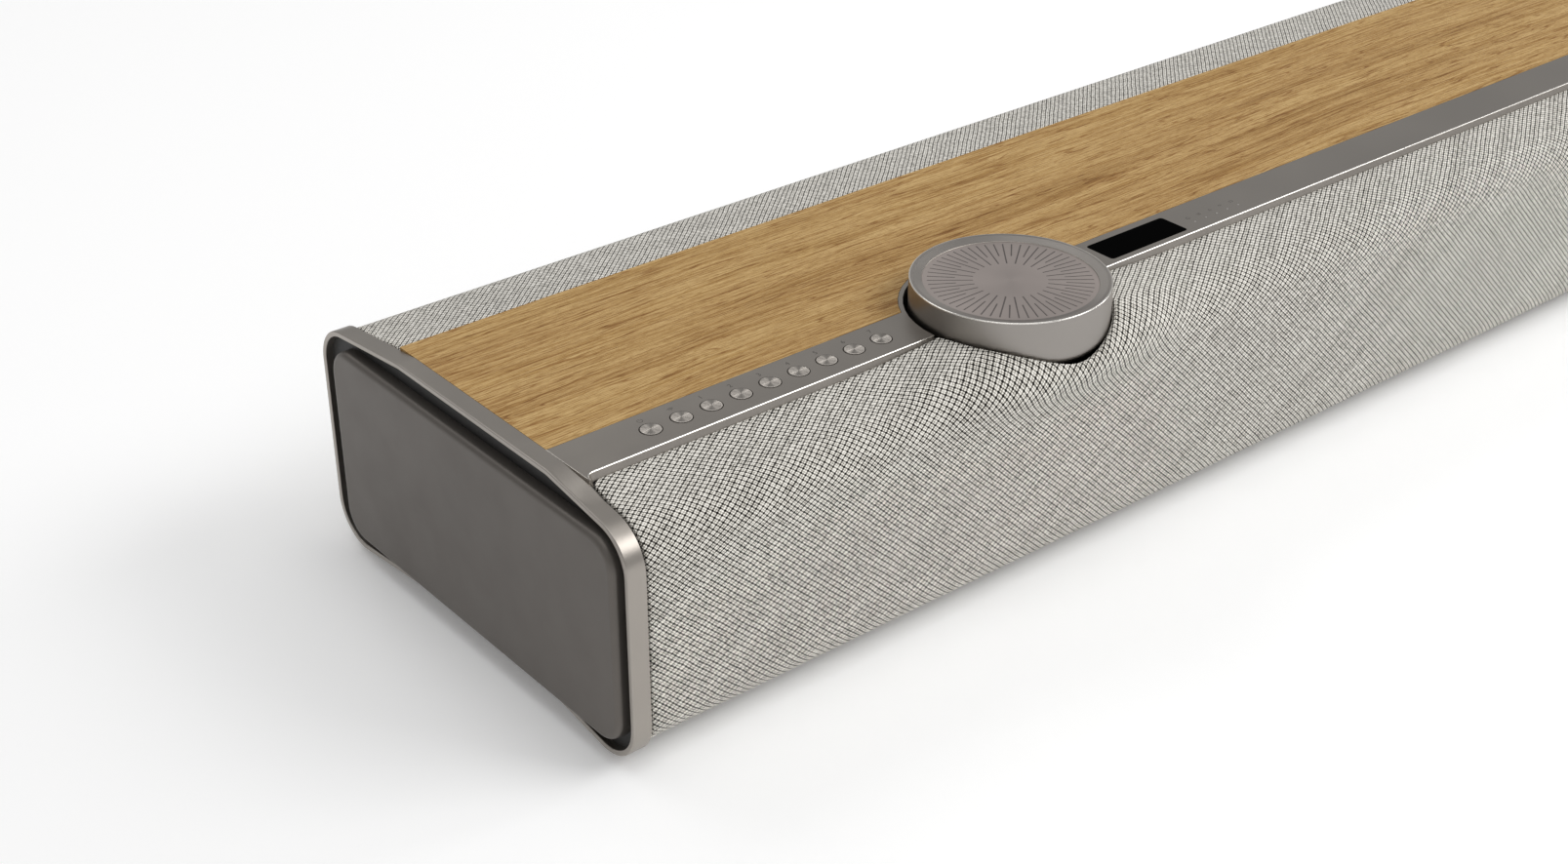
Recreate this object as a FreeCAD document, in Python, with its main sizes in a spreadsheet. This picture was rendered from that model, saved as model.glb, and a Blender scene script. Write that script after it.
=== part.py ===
"""Soundbar with a fabric grille, a timber top strip, nine push buttons and a rotary dial.

Frame: X runs along the bar, Y to the rear, Z up.  The origin is on the resting plane under
the middle of the bar.  Every length is in millimetres and comes from the sheet "Dims".
"""
import FreeCAD, Part
import math
import os
import Sketcher

Vector = FreeCAD.Vector
doc = FreeCAD.newDocument("Soundbar")
sheet = doc.addObject("Spreadsheet::Sheet", "Dims")

# alias, value, meaning
DIMENSIONS = [
    ("bar_half", 480.0, "middle of the bar to the face of an end panel"),
    ("panel_stand", 2.6, "end panel face beyond the end frame"),
    ("frame_width", 6.8, "width of the end frame band along the bar"),
    ("band_thick", 2.0, "thickness of the end frame band"),
    ("frame_edge_round", 0.45, "rounding of the outer edge of the band"),
    ("front_face", 89.25, "middle plane to the front face of the frame"),
    ("rear_face", 93.45, "middle plane to the rear face of the frame"),
    ("bend_front", 47.6, "middle plane to the front bend of the top"),
    ("bend_rear", 39.7, "middle plane to the rear bend of the top"),
    ("top_level", 94.0, "height of the flat top"),
    ("under_level", 6.4, "height of the flat underside of the frame"),
    ("front_drop", 6.9, "fall of the top from the front bend to the front face"),
    ("rear_drop", 5.9, "fall of the top from the rear bend to the rear face"),
    ("corner_round", 15.75, "outer corner radius of the frame"),
    ("bend_round", 12.0, "radius of the shallow bends"),
    ("panel_front", 84.4, "middle plane to the front edge of the end panel"),
    ("panel_rear", 83.0, "middle plane to the rear edge of the end panel"),
    ("panel_top", 84.8, "height of the top edge of the end panel"),
    ("panel_low", 8.8, "height of the lower edge of the end panel"),
    ("panel_corner", 11.0, "corner radius of the end panel"),
    ("panel_edge_round", 2.2, "edge rounding of the end panel"),
    ("bulkhead_thick", 4.0, "thickness of the end bulkhead"),
    ("wood_front", 37.65, "middle plane to the front edge of the timber"),
    ("wood_rear", 49.7, "middle plane to the rear edge of the timber"),
    ("wood_thick", 4.0, "thickness of the timber"),
    ("strip_front", 57.6, "middle plane to the front edge of the control strip"),
    ("strip_rear", 37.8, "middle plane to the rear edge of the control strip"),
    ("strip_thick", 2.2, "thickness of the control strip"),
    ("strip_edge_round", 0.5, "rounding of the front edge of the control strip"),
    ("strip_flare", 3.2, "radius where the strip meets the end frame"),
    ("dial_x", 288.8, "middle plane to the dial axis, towards the left end"),
    ("dial_y", 55.65, "middle plane to the dial axis, towards the front"),
    ("dial_radius", 35.35, "outer radius of the dial"),
    ("dial_top", 103.85, "height of the dial rim"),
    ("dial_low", 83.5, "height of the lower edge of the dial"),
    ("dial_low_round", 6.0, "rounding under the dial wall"),
    ("dial_wall", 2.6, "wall of the dial"),
    ("dial_face_radius", 30.85, "radius of the recess in the dial"),
    ("dial_face_level", 102.6, "height of the dial face"),
    ("dial_face_thick", 1.2, "thickness of the dial face plate"),
    ("dial_marks", 28, "number of long marks on the dial face"),
    ("mark_depth", 0.3, "depth of an engraved mark"),
    ("mark_width", 0.5, "width of an engraved mark"),
    ("well_gap_radius", 37.15, "radius of the hole in the control strip"),
    ("well_ring_radius", 38.75, "outer radius of the metal ring round the dial"),
    ("well_wall_radius", 38.6, "outer radius of the cup under the dial"),
    ("grille_hole_radius", 36.3, "radius of the hole in the front grille"),
    ("shaft_radius", 3.0, "radius of the dial shaft"),
    ("shaft_clearance", 0.06, "radial play of the shaft in its bushing"),
    ("button_first_x", 437.9, "middle plane to the first button, towards the left end"),
    ("button_pitch", 12.05, "distance between buttons"),
    ("button_y", 48.0, "middle plane to the buttons, towards the front"),
    ("button_radius", 3.57, "radius of a button"),
    ("button_hole_radius", 3.9, "radius of a button hole"),
    ("button_proud", 0.25, "button top above the strip"),
    ("button_travel", 0.8, "travel of a button"),
    ("window_x", 215.6, "middle plane to the display, towards the left end"),
    ("window_y", 47.9, "middle plane to the display, towards the front"),
    ("window_length", 40.2, "length of the display window"),
    ("window_depth", 13.4, "depth of the display window"),
    ("window_corner", 1.4, "corner radius of the display window"),
    ("lamp_first_x", 188.0, "middle plane to the first indicator, towards the left end"),
    ("lamp_pitch", 6.06, "distance between indicators"),
    ("lamp_y", 51.6, "middle plane to the indicators, towards the front"),
    ("lamp_radius", 0.5, "radius of an indicator light pipe"),
    ("fabric_thick", 1.2, "thickness of the grille fabric with its backing"),
    ("fabric_inset", 2.0, "grille surface below the frame surface"),
    ("groove", 1.9, "open groove between grille and end frame"),
    ("carrier_thick", 1.6, "thickness of the grille carriers"),
    ("case_front", 80.0, "middle plane to the front wall of the speaker case"),
    ("case_rear", 82.0, "middle plane to the open rear of the speaker case"),
    ("case_low", 12.0, "height of the underside of the speaker case"),
    ("case_top", 76.0, "height of the top of the speaker case"),
    ("case_wall", 3.0, "wall of the speaker case"),
    ("cover_thick", 2.5, "thickness of the rear cover"),
    ("io_thick", 1.5, "thickness of the connector panel"),
    ("bay_half", 118.0, "middle plane to the walls of the electronics bay"),
    ("woofer_x", 395.0, "middle plane to the outer woofers"),
    ("woofer_z", 43.0, "height of the woofer axes"),
    ("tweeter_x", 338.0, "middle plane to the tweeters"),
    ("upfire_x", 395.0, "middle plane to the up-firing drivers"),
    ("upfire_y", 65.9, "middle plane to the up-firing drivers, towards the rear"),
    ("foot_radius", 10.0, "radius of a foot"),
    ("foot_x", 430.0, "middle plane to the feet along the bar"),
    ("foot_y", 33.0, "middle plane to the feet across the bar"),
]
VALUES = {alias: value for alias, value, _ in DIMENSIONS}


class Dim:
    """A length that carries its number together with the sheet expression behind it."""

    def __init__(self, value, text=None):
        self.value = float(value)
        self.text = repr(float(value)) if text is None else text

    def __add__(self, other):
        other = dim(other)
        return Dim(self.value + other.value, f"({self.text} + {other.text})")

    def __sub__(self, other):
        other = dim(other)
        return Dim(self.value - other.value, f"({self.text} - {other.text})")

    def __rsub__(self, other):
        return dim(other) - self

    def __mul__(self, other):
        other = dim(other)
        return Dim(self.value * other.value, f"({self.text} * {other.text})")

    def __truediv__(self, other):
        other = dim(other)
        return Dim(self.value / other.value, f"({self.text} / {other.text})")

    def __neg__(self):
        return Dim(-self.value, f"(-1 * {self.text})")

    def root(self):
        return Dim(math.sqrt(self.value), f"sqrt({self.text})")

    __radd__ = __add__
    __rmul__ = __mul__


def dim(thing):
    """A sheet alias, a number or a Dim, as a Dim."""
    if isinstance(thing, Dim):
        return thing
    if isinstance(thing, str):
        return Dim(VALUES[thing], "Dims." + thing)
    return Dim(thing)


for row, (alias, value, meaning) in enumerate(DIMENSIONS, start=1):
    sheet.set(f"A{row}", alias)
    sheet.set(f"B{row}", repr(value))
    sheet.set(f"C{row}", meaning)
    sheet.setAlias(f"B{row}", alias)
doc.recompute()

INNER_END = dim("bar_half") - "panel_stand" - "frame_width"
DIAL_X = -dim("dial_x")
DIAL_Y = -dim("dial_y")
TOP = dim("top_level")
STRIP_UNDER = TOP - "strip_thick"
NODES = []


# ---------------------------------------------------------------- document helpers
def bind(obj, prop, length):
    """Drive a property by the sheet."""
    obj.setExpression(prop, dim(length).text)


def place(obj, x=0.0, y=0.0, z=0.0):
    for axis, length in (("x", x), ("y", y), ("z", z)):
        bind(obj, "Placement.Base." + axis, length)


def node(obj, name):
    """Name a finished sub-part; its shape is written to parts/NAME.step."""
    obj.Label = name
    NODES.append(obj)
    return obj


def box(name, x, y, z):
    """Box between two values on each axis."""
    obj = doc.addObject("Part::Box", name)
    for prop, (low, high) in (("Length", x), ("Width", y), ("Height", z)):
        bind(obj, prop, dim(high) - low)
    place(obj, x[0], y[0], z[0])
    return obj


ROTATIONS = {
    "x": FreeCAD.Rotation(Vector(0, 1, 0), 90),
    "y": FreeCAD.Rotation(Vector(1, 0, 0), -90),
    "z": FreeCAD.Rotation(),
}


def cylinder(name, axis, start, radius, length):
    """Cylinder that begins at a point and runs along +axis."""
    obj = doc.addObject("Part::Cylinder", name)
    bind(obj, "Radius", radius)
    bind(obj, "Height", length)
    obj.Placement = FreeCAD.Placement(Vector(), ROTATIONS[axis])
    place(obj, *start)
    return obj


def fuse(name, shapes):
    obj = doc.addObject("Part::MultiFuse", name)
    obj.Shapes = shapes
    return obj


def cut(name, base, tools):
    obj = doc.addObject("Part::Cut", name)
    obj.Base = base
    obj.Tool = tools[0] if len(tools) == 1 else fuse(name + "_tools", tools)
    return obj


def group(name, shapes):
    """Separate solids that share one node."""
    obj = doc.addObject("Part::Compound", name)
    obj.Links = shapes
    return obj


def origin_feature(body, role):
    for feature in body.Origin.OriginFeatures:
        if feature.Role == role:
            return feature
    raise ValueError(role)


def new_sketch(body, name, role, offset=0.0):
    sketch = body.newObject("Sketcher::SketchObject", name)
    sketch.AttachmentSupport = [(origin_feature(body, role), "")]
    sketch.MapMode = "FlatFace"
    bind(sketch, "AttachmentOffset.Base.z", offset)
    return sketch


def locate(sketch, kind, geometry, point, length):
    """Distance of a sketch point from the sketch origin, driven by the sheet."""
    length = dim(length)
    if length.value < 0:
        length = -length
        link = Sketcher.Constraint(kind, geometry, point, -1, 1, length.value)
    else:
        link = Sketcher.Constraint(kind, -1, 1, geometry, point, length.value)
    index = sketch.addConstraint(link)
    sketch.setExpression(f"Constraints[{index}]", length.text)


def loop(sketch, corners):
    """Closed outline through corners (u, v, radius); radius 0 leaves a corner sharp."""
    count = len(corners)
    points = [Vector(dim(u).value, dim(v).value, 0) for u, v, _ in corners]
    guides = []
    for i in range(count):
        guides.append(sketch.addGeometry(Part.LineSegment(points[i], points[(i + 1) % count]), True))
    for i in range(count):
        sketch.addConstraint(Sketcher.Constraint("Coincident", guides[i], 2, guides[(i + 1) % count], 1))
        locate(sketch, "DistanceX", guides[i], 1, corners[i][0])
        locate(sketch, "DistanceY", guides[i], 1, corners[i][1])
    entries, exits, centres = [], [], []
    for i in range(count):
        back = (points[i - 1] - points[i]).normalize()
        ahead = (points[(i + 1) % count] - points[i]).normalize()
        radius = dim(corners[i][2]).value
        half = back.getAngle(ahead) / 2
        entries.append(points[i] + back * (radius / math.tan(half)))
        exits.append(points[i] + ahead * (radius / math.tan(half)))
        middle = (back + ahead).normalize() if radius else Vector()
        centres.append(points[i] + middle * (radius / math.sin(half)))
    lines = []
    for i in range(count):
        lines.append(sketch.addGeometry(Part.LineSegment(exits[i], entries[(i + 1) % count]), False))
    for i in range(count):
        radius = dim(corners[i][2])
        if radius.value == 0:
            sketch.addConstraint(Sketcher.Constraint("Coincident", lines[i - 1], 2, lines[i], 1))
            sketch.addConstraint(Sketcher.Constraint("Coincident", guides[i], 1, lines[i], 1))
            continue
        start, end = entries[i] - centres[i], exits[i] - centres[i]
        angles = [math.atan2(start.y, start.x), math.atan2(end.y, end.x)]
        turn = (points[i] - points[i - 1]).cross(points[(i + 1) % count] - points[i]).z
        first, last = (1, 2) if turn > 0 else (2, 1)
        if turn < 0:
            angles.reverse()
        circle = Part.Circle(centres[i], Vector(0, 0, 1), radius.value)
        arc = sketch.addGeometry(Part.ArcOfCircle(circle, *angles), False)
        sketch.addConstraint(Sketcher.Constraint("Tangent", lines[i - 1], 2, arc, first))
        sketch.addConstraint(Sketcher.Constraint("Tangent", arc, last, lines[i], 1))
        sketch.addConstraint(Sketcher.Constraint("PointOnObject", lines[i - 1], 2, guides[i - 1]))
        sketch.addConstraint(Sketcher.Constraint("PointOnObject", lines[i], 1, guides[i]))
        index = sketch.addConstraint(Sketcher.Constraint("Radius", arc, radius.value))
        sketch.setExpression(f"Constraints[{index}]", radius.text)


def circle(sketch, u, v, radius):
    centre = Vector(dim(u).value, dim(v).value, 0)
    ring = sketch.addGeometry(Part.Circle(centre, Vector(0, 0, 1), dim(radius).value), False)
    locate(sketch, "DistanceX", ring, 3, u)
    locate(sketch, "DistanceY", ring, 3, v)
    index = sketch.addConstraint(Sketcher.Constraint("Radius", ring, dim(radius).value))
    sketch.setExpression(f"Constraints[{index}]", dim(radius).text)


def rectangle(u, v, radius=0.0):
    """Corners of a rectangle between two values on each axis."""
    return [(u[0], v[0], radius), (u[1], v[0], radius), (u[1], v[1], radius), (u[0], v[1], radius)]


def feature(body, kind, name, sketch, length=None):
    obj = body.newObject("PartDesign::" + kind, name)
    obj.Profile = sketch
    if length is None:
        obj.Type = 1
        obj.Midplane = True
    else:
        bind(obj, "Length", length)
    body.Tip = obj
    return obj


def padded_body(name, role, loops, length, x=0.0, y=0.0, z=0.0):
    """Body made of one pad of the given outlines."""
    body = doc.addObject("PartDesign::Body", name)
    outline = new_sketch(body, name + "_outline", role)
    for corners in loops:
        loop(outline, corners)
    feature(body, "Pad", name + "_pad", outline, length)
    place(body, x, y, z)
    return body


def turned_body(name, corners):
    """Body turned about its own Z axis from an outline of (radius, height, rounding)."""
    body = doc.addObject("PartDesign::Body", name)
    outline = new_sketch(body, name + "_outline", "XZ_Plane")
    loop(outline, corners)
    turn = body.newObject("PartDesign::Revolution", name + "_turn")
    turn.Profile = outline
    turn.ReferenceAxis = (outline, ["V_Axis"])
    turn.Angle = 360
    body.Tip = turn
    return body


def round_edges(body, name, test, radius):
    """Round the edges of the present tip whose centre passes the test."""
    doc.recompute()
    chosen = [f"Edge{i}" for i, edge in enumerate(body.Tip.Shape.Edges, start=1) if test(edge)]
    base = body.Tip
    fillet = body.newObject("PartDesign::Fillet", name)
    fillet.Base = (base, chosen)
    bind(fillet, "Radius", radius)
    body.Tip = fillet
    return fillet


# ---------------------------------------------------------------- the common cross-section
def section(inset):
    """The eight corners (y, z, radius) of the frame outline, moved inwards by an inset."""
    inset = dim(inset)
    front = -dim("front_face") + inset
    rear = dim("rear_face") - inset
    bend_front, bend_rear = -dim("bend_front"), dim("bend_rear")
    fall_front = dim("front_drop") / (dim("front_face") - "bend_front")
    fall_rear = dim("rear_drop") / (dim("rear_face") - "bend_rear")
    slant_front = (fall_front * fall_front + 1).root()
    slant_rear = (fall_rear * fall_rear + 1).root()
    shift_front = inset * (slant_front - 1) / fall_front
    shift_rear = inset * (slant_rear - 1) / fall_rear
    reach_front = (bend_front - front) * fall_front
    reach_rear = (rear - bend_rear) * fall_rear
    corner, bend = dim("corner_round") - inset, dim("bend_round")
    low = dim("under_level")
    return [
        (front, low - reach_front + inset * slant_front, corner),
        (bend_front - shift_front, low + inset, bend),
        (bend_rear + shift_rear, low + inset, bend),
        (rear, low - reach_rear + inset * slant_rear, corner),
        (rear, TOP - reach_rear - inset * slant_rear, corner),
        (bend_rear - shift_rear, TOP - inset, bend),
        (bend_front + shift_front, TOP - inset, bend),
        (front, TOP - reach_front - inset * slant_front, corner),
    ]


# ---------------------------------------------------------------- ends of the bar
def end_frame(name, side):
    """Bent band that closes one end; side is -1 for the left end and 1 for the right."""
    start = INNER_END if side > 0 else -INNER_END - "frame_width"
    body = padded_body(name, "YZ_Plane", [section(0), section("band_thick")], "frame_width", x=start)
    end_x = VALUES["frame_width"] if side > 0 else 0.0

    def on_end_face(edge):
        box_ = edge.BoundBox
        return abs(box_.XMin - end_x) < 1e-6 and abs(box_.XMax - end_x) < 1e-6

    round_edges(body, name + "_edges", on_end_face, "frame_edge_round")
    return node(body, name)


def end_panel(name, side):
    thick = dim("frame_width") + "panel_stand" - "bulkhead_thick"
    start = INNER_END + "bulkhead_thick" if side > 0 else -dim("bar_half")
    edge = rectangle((-dim("panel_front"), "panel_rear"), ("panel_low", "panel_top"), "panel_corner")
    body = padded_body(name, "YZ_Plane", [edge], thick, x=start)
    end_x = thick.value if side > 0 else 0.0

    def on_end_face(edge_):
        return abs(edge_.BoundBox.XMin - end_x) < 1e-6 and abs(edge_.BoundBox.XMax - end_x) < 1e-6

    round_edges(body, name + "_edges", on_end_face, "panel_edge_round")
    return node(body, name)


def end_bulkhead(name, side):
    start = INNER_END if side > 0 else -INNER_END - "bulkhead_thick"
    body = padded_body(name, "YZ_Plane", [section("band_thick")], "bulkhead_thick", x=start)
    holes = new_sketch(body, name + "_screw_holes", "YZ_Plane")
    for y, z in END_SCREWS:
        circle(holes, y, z, END_SCREW_RADIUS + 0.15)
    feature(body, "Pocket", name + "_holes", holes)
    return node(body, name)


END_SCREW_RADIUS = 1.5
END_SCREWS = [(-70.0, 24.0), (-70.0, 64.0), (70.0, 24.0), (70.0, 64.0)]


def end_screws(name):
    """Screws that hold the bulkheads to the speaker case."""
    solids = []
    for side in (-1, 1):
        face = INNER_END * side
        for k, (y, z) in enumerate(END_SCREWS):
            label = f"end_screw_{'right' if side > 0 else 'left'}_{k}"
            reach = 9.0
            start = face - reach + "bulkhead_thick" if side > 0 else face - "bulkhead_thick"
            solids.append(cylinder(label, "x", (start, y, z), END_SCREW_RADIUS, reach))
    return node(group(name, solids), name)


# ---------------------------------------------------------------- top of the bar
def timber_top(name):
    reach = INNER_END - 0.15
    edge = rectangle((-reach, reach), (-dim("wood_front"), "wood_rear"))
    body = padded_body(name, "XY_Plane", [edge], "wood_thick", z=TOP - "wood_thick")
    hole = new_sketch(body, name + "_hole", "XY_Plane")
    circle(hole, DIAL_X, DIAL_Y, dim("well_ring_radius") + 0.15)
    feature(body, "Pocket", name + "_dial_hole", hole)
    return node(body, name)


def control_strip(name):
    """Metal strip with the ring round the dial, button holes, display window and lamp holes."""
    end = INNER_END
    front, rear = -dim("strip_front"), -dim("strip_rear")
    lip = dim("strip_flare") + 0.2
    outline = [
        (-end, rear, 0.0), (-end, front - lip, 0.0), (0.9 - end, front - lip, 0.0),
        (0.9 - end, front, "strip_flare"), (end - 0.9, front, "strip_flare"),
        (end - 0.9, front - lip, 0.0), (end, front - lip, 0.0), (end, rear, 0.0),
    ]
    body = padded_body(name, "XY_Plane", [outline], "strip_thick", z=STRIP_UNDER)
    ring = new_sketch(body, name + "_ring", "XY_Plane")
    circle(ring, DIAL_X, DIAL_Y, "well_ring_radius")
    feature(body, "Pad", name + "_ring_pad", ring, "strip_thick")
    trim = new_sketch(body, name + "_ring_trim", "XY_Plane")
    half = dim("well_ring_radius") + 5
    loop(trim, rectangle((DIAL_X - half, DIAL_X + half), (DIAL_Y - half, front)))
    feature(body, "Pocket", name + "_trim", trim)
    hole = new_sketch(body, name + "_dial_hole", "XY_Plane")
    circle(hole, DIAL_X, DIAL_Y, "well_gap_radius")
    feature(body, "Pocket", name + "_dial_pocket", hole)
    window = new_sketch(body, name + "_window", "XY_Plane")
    half_length = dim("window_length") / 2 + 0.15
    half_depth = dim("window_depth") / 2 + 0.15
    window_x, window_y = -dim("window_x"), -dim("window_y")
    edges = rectangle((window_x - half_length, window_x + half_length),
                      (window_y - half_depth, window_y + half_depth), "window_corner")
    loop(window, edges)
    feature(body, "Pocket", name + "_window_pocket", window)
    rows = (
        ("buttons", "button_first_x", "button_y", "button_hole_radius", "button_pitch", BUTTON_COUNT),
        ("lamps", "lamp_first_x", "lamp_y", dim("lamp_radius") + 0.1, "lamp_pitch", LAMP_COUNT),
    )
    for label, x, y, radius, pitch, count in rows:
        first = new_sketch(body, f"{name}_{label}", "XY_Plane")
        circle(first, -dim(x), -dim(y), radius)
        pocket = feature(body, "Pocket", f"{name}_{label}_pocket", first)
        row_ = body.newObject("PartDesign::LinearPattern", f"{name}_{label}_row")
        row_.Originals = [pocket]
        row_.Direction = (first, ["H_Axis"])
        bind(row_, "Length", dim(pitch) * (count - 1))
        row_.Occurrences = count
        body.Tip = row_
    top_z, front_y = VALUES["strip_thick"], front.value

    def on_front_edge(edge):
        box_ = edge.BoundBox
        return box_.ZMin > top_z - 1e-6 and abs(box_.YMax - front_y) < 0.01

    round_edges(body, name + "_front_edge", on_front_edge, "strip_edge_round")
    return node(body, name)


def top_tray(name):
    """Moulding that carries the timber and forms the trough under the control strip."""
    floor = dim("case_top")
    under = TOP - "wood_thick"
    corners = [
        (-56.8, floor, 0.0), (-38.2, floor, 0.0), (-38.2, under - 3, 0.0), (47.4, under - 3, 0.0),
        (47.4, floor, 0.0), (49.4, floor, 0.0), (49.4, under, 0.0), (-38.2, under, 0.0),
        (-38.2, STRIP_UNDER, 0.0), (-39.6, STRIP_UNDER, 0.0), (-39.6, floor + 2, 0.0),
        (-55.4, floor + 2, 0.0), (-55.4, STRIP_UNDER, 0.0), (-56.8, STRIP_UNDER, 0.0),
    ]
    body = padded_body(name, "YZ_Plane", [corners], INNER_END * 2, x=-INNER_END)
    hole = new_sketch(body, name + "_hole", "XY_Plane")
    circle(hole, DIAL_X + INNER_END, DIAL_Y, dim("well_wall_radius") + 0.15)
    feature(body, "Pocket", name + "_dial_hole", hole)
    return node(body, name)


# ---------------------------------------------------------------- dial
def dial_well(name):
    """Cup under the dial, open towards the front where the grille closes it."""
    wall = dim("well_wall_radius")
    inner = dim("well_gap_radius") + 0.05
    floor = dim("case_top")
    cup = turned_body("dial_cup", [
        (0.0, floor, 0.0), (wall, floor, 0.0), (wall, STRIP_UNDER, 0.0), (inner, STRIP_UNDER, 0.0),
        (inner, floor + 2, 0.0), (0.0, floor + 2, 0.0),
    ])
    place(cup, DIAL_X, DIAL_Y)
    span = (DIAL_X - 50, DIAL_X + 50)
    low_front = box("dial_cup_front", span, (-110, -dim("strip_front") - 0.2), (floor + 4, TOP + 5))
    lip = box("dial_cup_lip", span, (-110, -84), (floor - 5, TOP + 5))
    return node(cut(name, cup, [low_front, lip]), name)


def dial_shell(name):
    radius, wall = dim("dial_radius"), dim("dial_wall")
    top, low = dim("dial_top"), dim("dial_low")
    face = dim("dial_face_radius")
    seat = dim("dial_face_level") - "dial_face_thick"
    shaft = dim("shaft_radius")
    body = turned_body(name, [
        (0.0, seat, 0.0), (0.0, seat - 2, 0.0), (shaft, seat - 2, 0.0), (shaft, low + 7.3, 0.0),
        (shaft + 3.5, low + 7.3, 0.0), (shaft + 3.5, seat - 2.8, 2.0), (radius - wall, seat - 2.8, 2.0),
        (radius - wall, low + 6, 3.0), (radius - 6.6, low + 2.2, 0.0), (radius - 6.6, low, 0.0),
        (radius, low, "dial_low_round"), (radius, top, 0.7), (radius - 1.6, top, 0.6),
        (face, seat + 1.5, 0.0), (face, seat, 0.0),
    ])
    place(body, DIAL_X, DIAL_Y)
    return node(body, name)


def dial_face(name):
    """Face plate with engraved long and short marks."""
    radius = dim("dial_face_radius") - 0.1
    thick = dim("dial_face_thick")
    body = doc.addObject("PartDesign::Body", name)
    outline = new_sketch(body, name + "_outline", "XY_Plane")
    circle(outline, 0.0, 0.0, radius)
    feature(body, "Pad", name + "_pad", outline, thick)
    step = 180.0 / VALUES["dial_marks"]
    half = dim("mark_width") / 2
    for label, inner, turn in (("long", 0.425, 0.0), ("short", 0.625, step)):
        mark = new_sketch(body, f"{name}_{label}_mark", "XY_Plane", offset=thick)
        mark.AttachmentOffset = FreeCAD.Placement(Vector(), FreeCAD.Rotation(Vector(0, 0, 1), turn))
        loop(mark, rectangle((radius * inner, radius * 0.943), (-half, half)))
        pocket = feature(body, "Pocket", f"{name}_{label}_pocket", mark, "mark_depth")
        ring = body.newObject("PartDesign::PolarPattern", f"{name}_{label}_ring")
        ring.Originals = [pocket]
        ring.Axis = (outline, ["N_Axis"])
        ring.Angle = 360
        bind(ring, "Occurrences", "dial_marks")
        body.Tip = ring
    place(body, DIAL_X, DIAL_Y, dim("dial_face_level") - thick)
    return node(body, name)


def dial_shaft(name):
    low = dim("case_top") + 3.6
    high = dim("dial_face_level") - "dial_face_thick" - 2
    shaft = cylinder(name, "z", (DIAL_X, DIAL_Y, low), "shaft_radius", high - low)
    return node(shaft, name)


def dial_encoder(name):
    floor = dim("case_top") + 2
    bore = dim("shaft_radius") + "shaft_clearance"
    body = turned_body(name, [
        (0.0, floor, 0.0), (8.0, floor, 0.0), (8.0, floor + 8, 0.0), (4.5, floor + 8, 0.0),
        (4.5, floor + 12, 0.0), (bore, floor + 12, 0.0), (bore, floor + 1.2, 0.0), (0.0, floor + 1.2, 0.0),
    ])
    place(body, DIAL_X, DIAL_Y)
    return node(body, name)


# ---------------------------------------------------------------- buttons, display, indicators
BUTTON_COUNT = 9
LAMP_COUNT = 5
BUTTON_NAMES = ["power_button", "source_button"] + [f"preset_button_{k}" for k in range(1, 8)]
STEM_END = 84.6
BOARD_TOP = 79.6


def button(name, index):
    under = STRIP_UNDER
    radius = dim("button_radius")
    top = TOP + "button_proud"
    body = turned_body(name, [
        (0.0, STEM_END, 0.0), (1.6, STEM_END, 0.0), (1.6, under - 1, 0.0), (radius + 1, under - 1, 0.0),
        (radius + 1, under - 0.2, 0.0), (radius, under - 0.2, 0.0), (radius, top, 0.3), (0.0, top, 0.0),
    ])
    place(body, dim("button_pitch") * index - "button_first_x", -dim("button_y"))
    return node(body, name)


def button_board(name):
    first = -dim("button_first_x")
    last = first + dim("button_pitch") * (BUTTON_COUNT - 1)
    board = box(name, (first - 6, last + 6), (-54.6, -41.0), (BOARD_TOP - 1.6, BOARD_TOP))
    return node(board, name)


def button_switches(name):
    solids = []
    for k in range(BUTTON_COUNT):
        x = dim("button_pitch") * k - "button_first_x"
        y = -dim("button_y")
        body = box(f"switch_body_{k}", (x - 3, x + 3), (y - 3, y + 3), (BOARD_TOP, BOARD_TOP + 3.2))
        tip = cylinder(f"switch_tip_{k}", "z", (x, y, BOARD_TOP + 3), 1.4, 0.95)
        solids.append(fuse(f"switch_{k}", [body, tip]))
    return node(group(name, solids), name)


def display_window(name):
    x, y = -dim("window_x"), -dim("window_y")
    half_length, half_depth = dim("window_length") / 2, dim("window_depth") / 2
    corner = dim("window_corner") - 0.1
    edges = rectangle((x - half_length, x + half_length), (y - half_depth, y + half_depth), corner)
    thick = dim("strip_thick") - 0.05
    return node(padded_body(name, "XY_Plane", [edges], thick, z=STRIP_UNDER), name)


def display_board(name):
    """Board in the trough with the display module, which reaches up to the window."""
    x, y = -dim("window_x"), -dim("window_y")
    last = dim("lamp_pitch") * (LAMP_COUNT - 1) - "lamp_first_x"
    board = box(name + "_plate", (x - 26, last + 5), (-54.6, -41.0), (BOARD_TOP - 1.6, BOARD_TOP))
    module = box(name + "_module", (x - 23, x + 23), (y - 6.8, y + 6.8), (BOARD_TOP - 0.2, STRIP_UNDER))
    return node(fuse(name, [board, module]), name)


def indicator_lamps(name):
    solids = []
    for k in range(LAMP_COUNT):
        x = dim("lamp_pitch") * k - "lamp_first_x"
        pipe = cylinder(f"lamp_{k}", "z", (x, -dim("lamp_y"), BOARD_TOP), "lamp_radius", TOP - BOARD_TOP)
        solids.append(pipe)
    return node(group(name, solids), name)


# ---------------------------------------------------------------- grilles
def grille_solid(name, corners, inset, half_length):
    """Solid under a grille surface, moved inwards by an inset."""
    moved = [(y(inset), z(inset), dim(radius) - inset if radius else 0.0) for y, z, radius in corners]
    return padded_body(name, "YZ_Plane", [moved], half_length * 2, x=-half_length)


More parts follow.
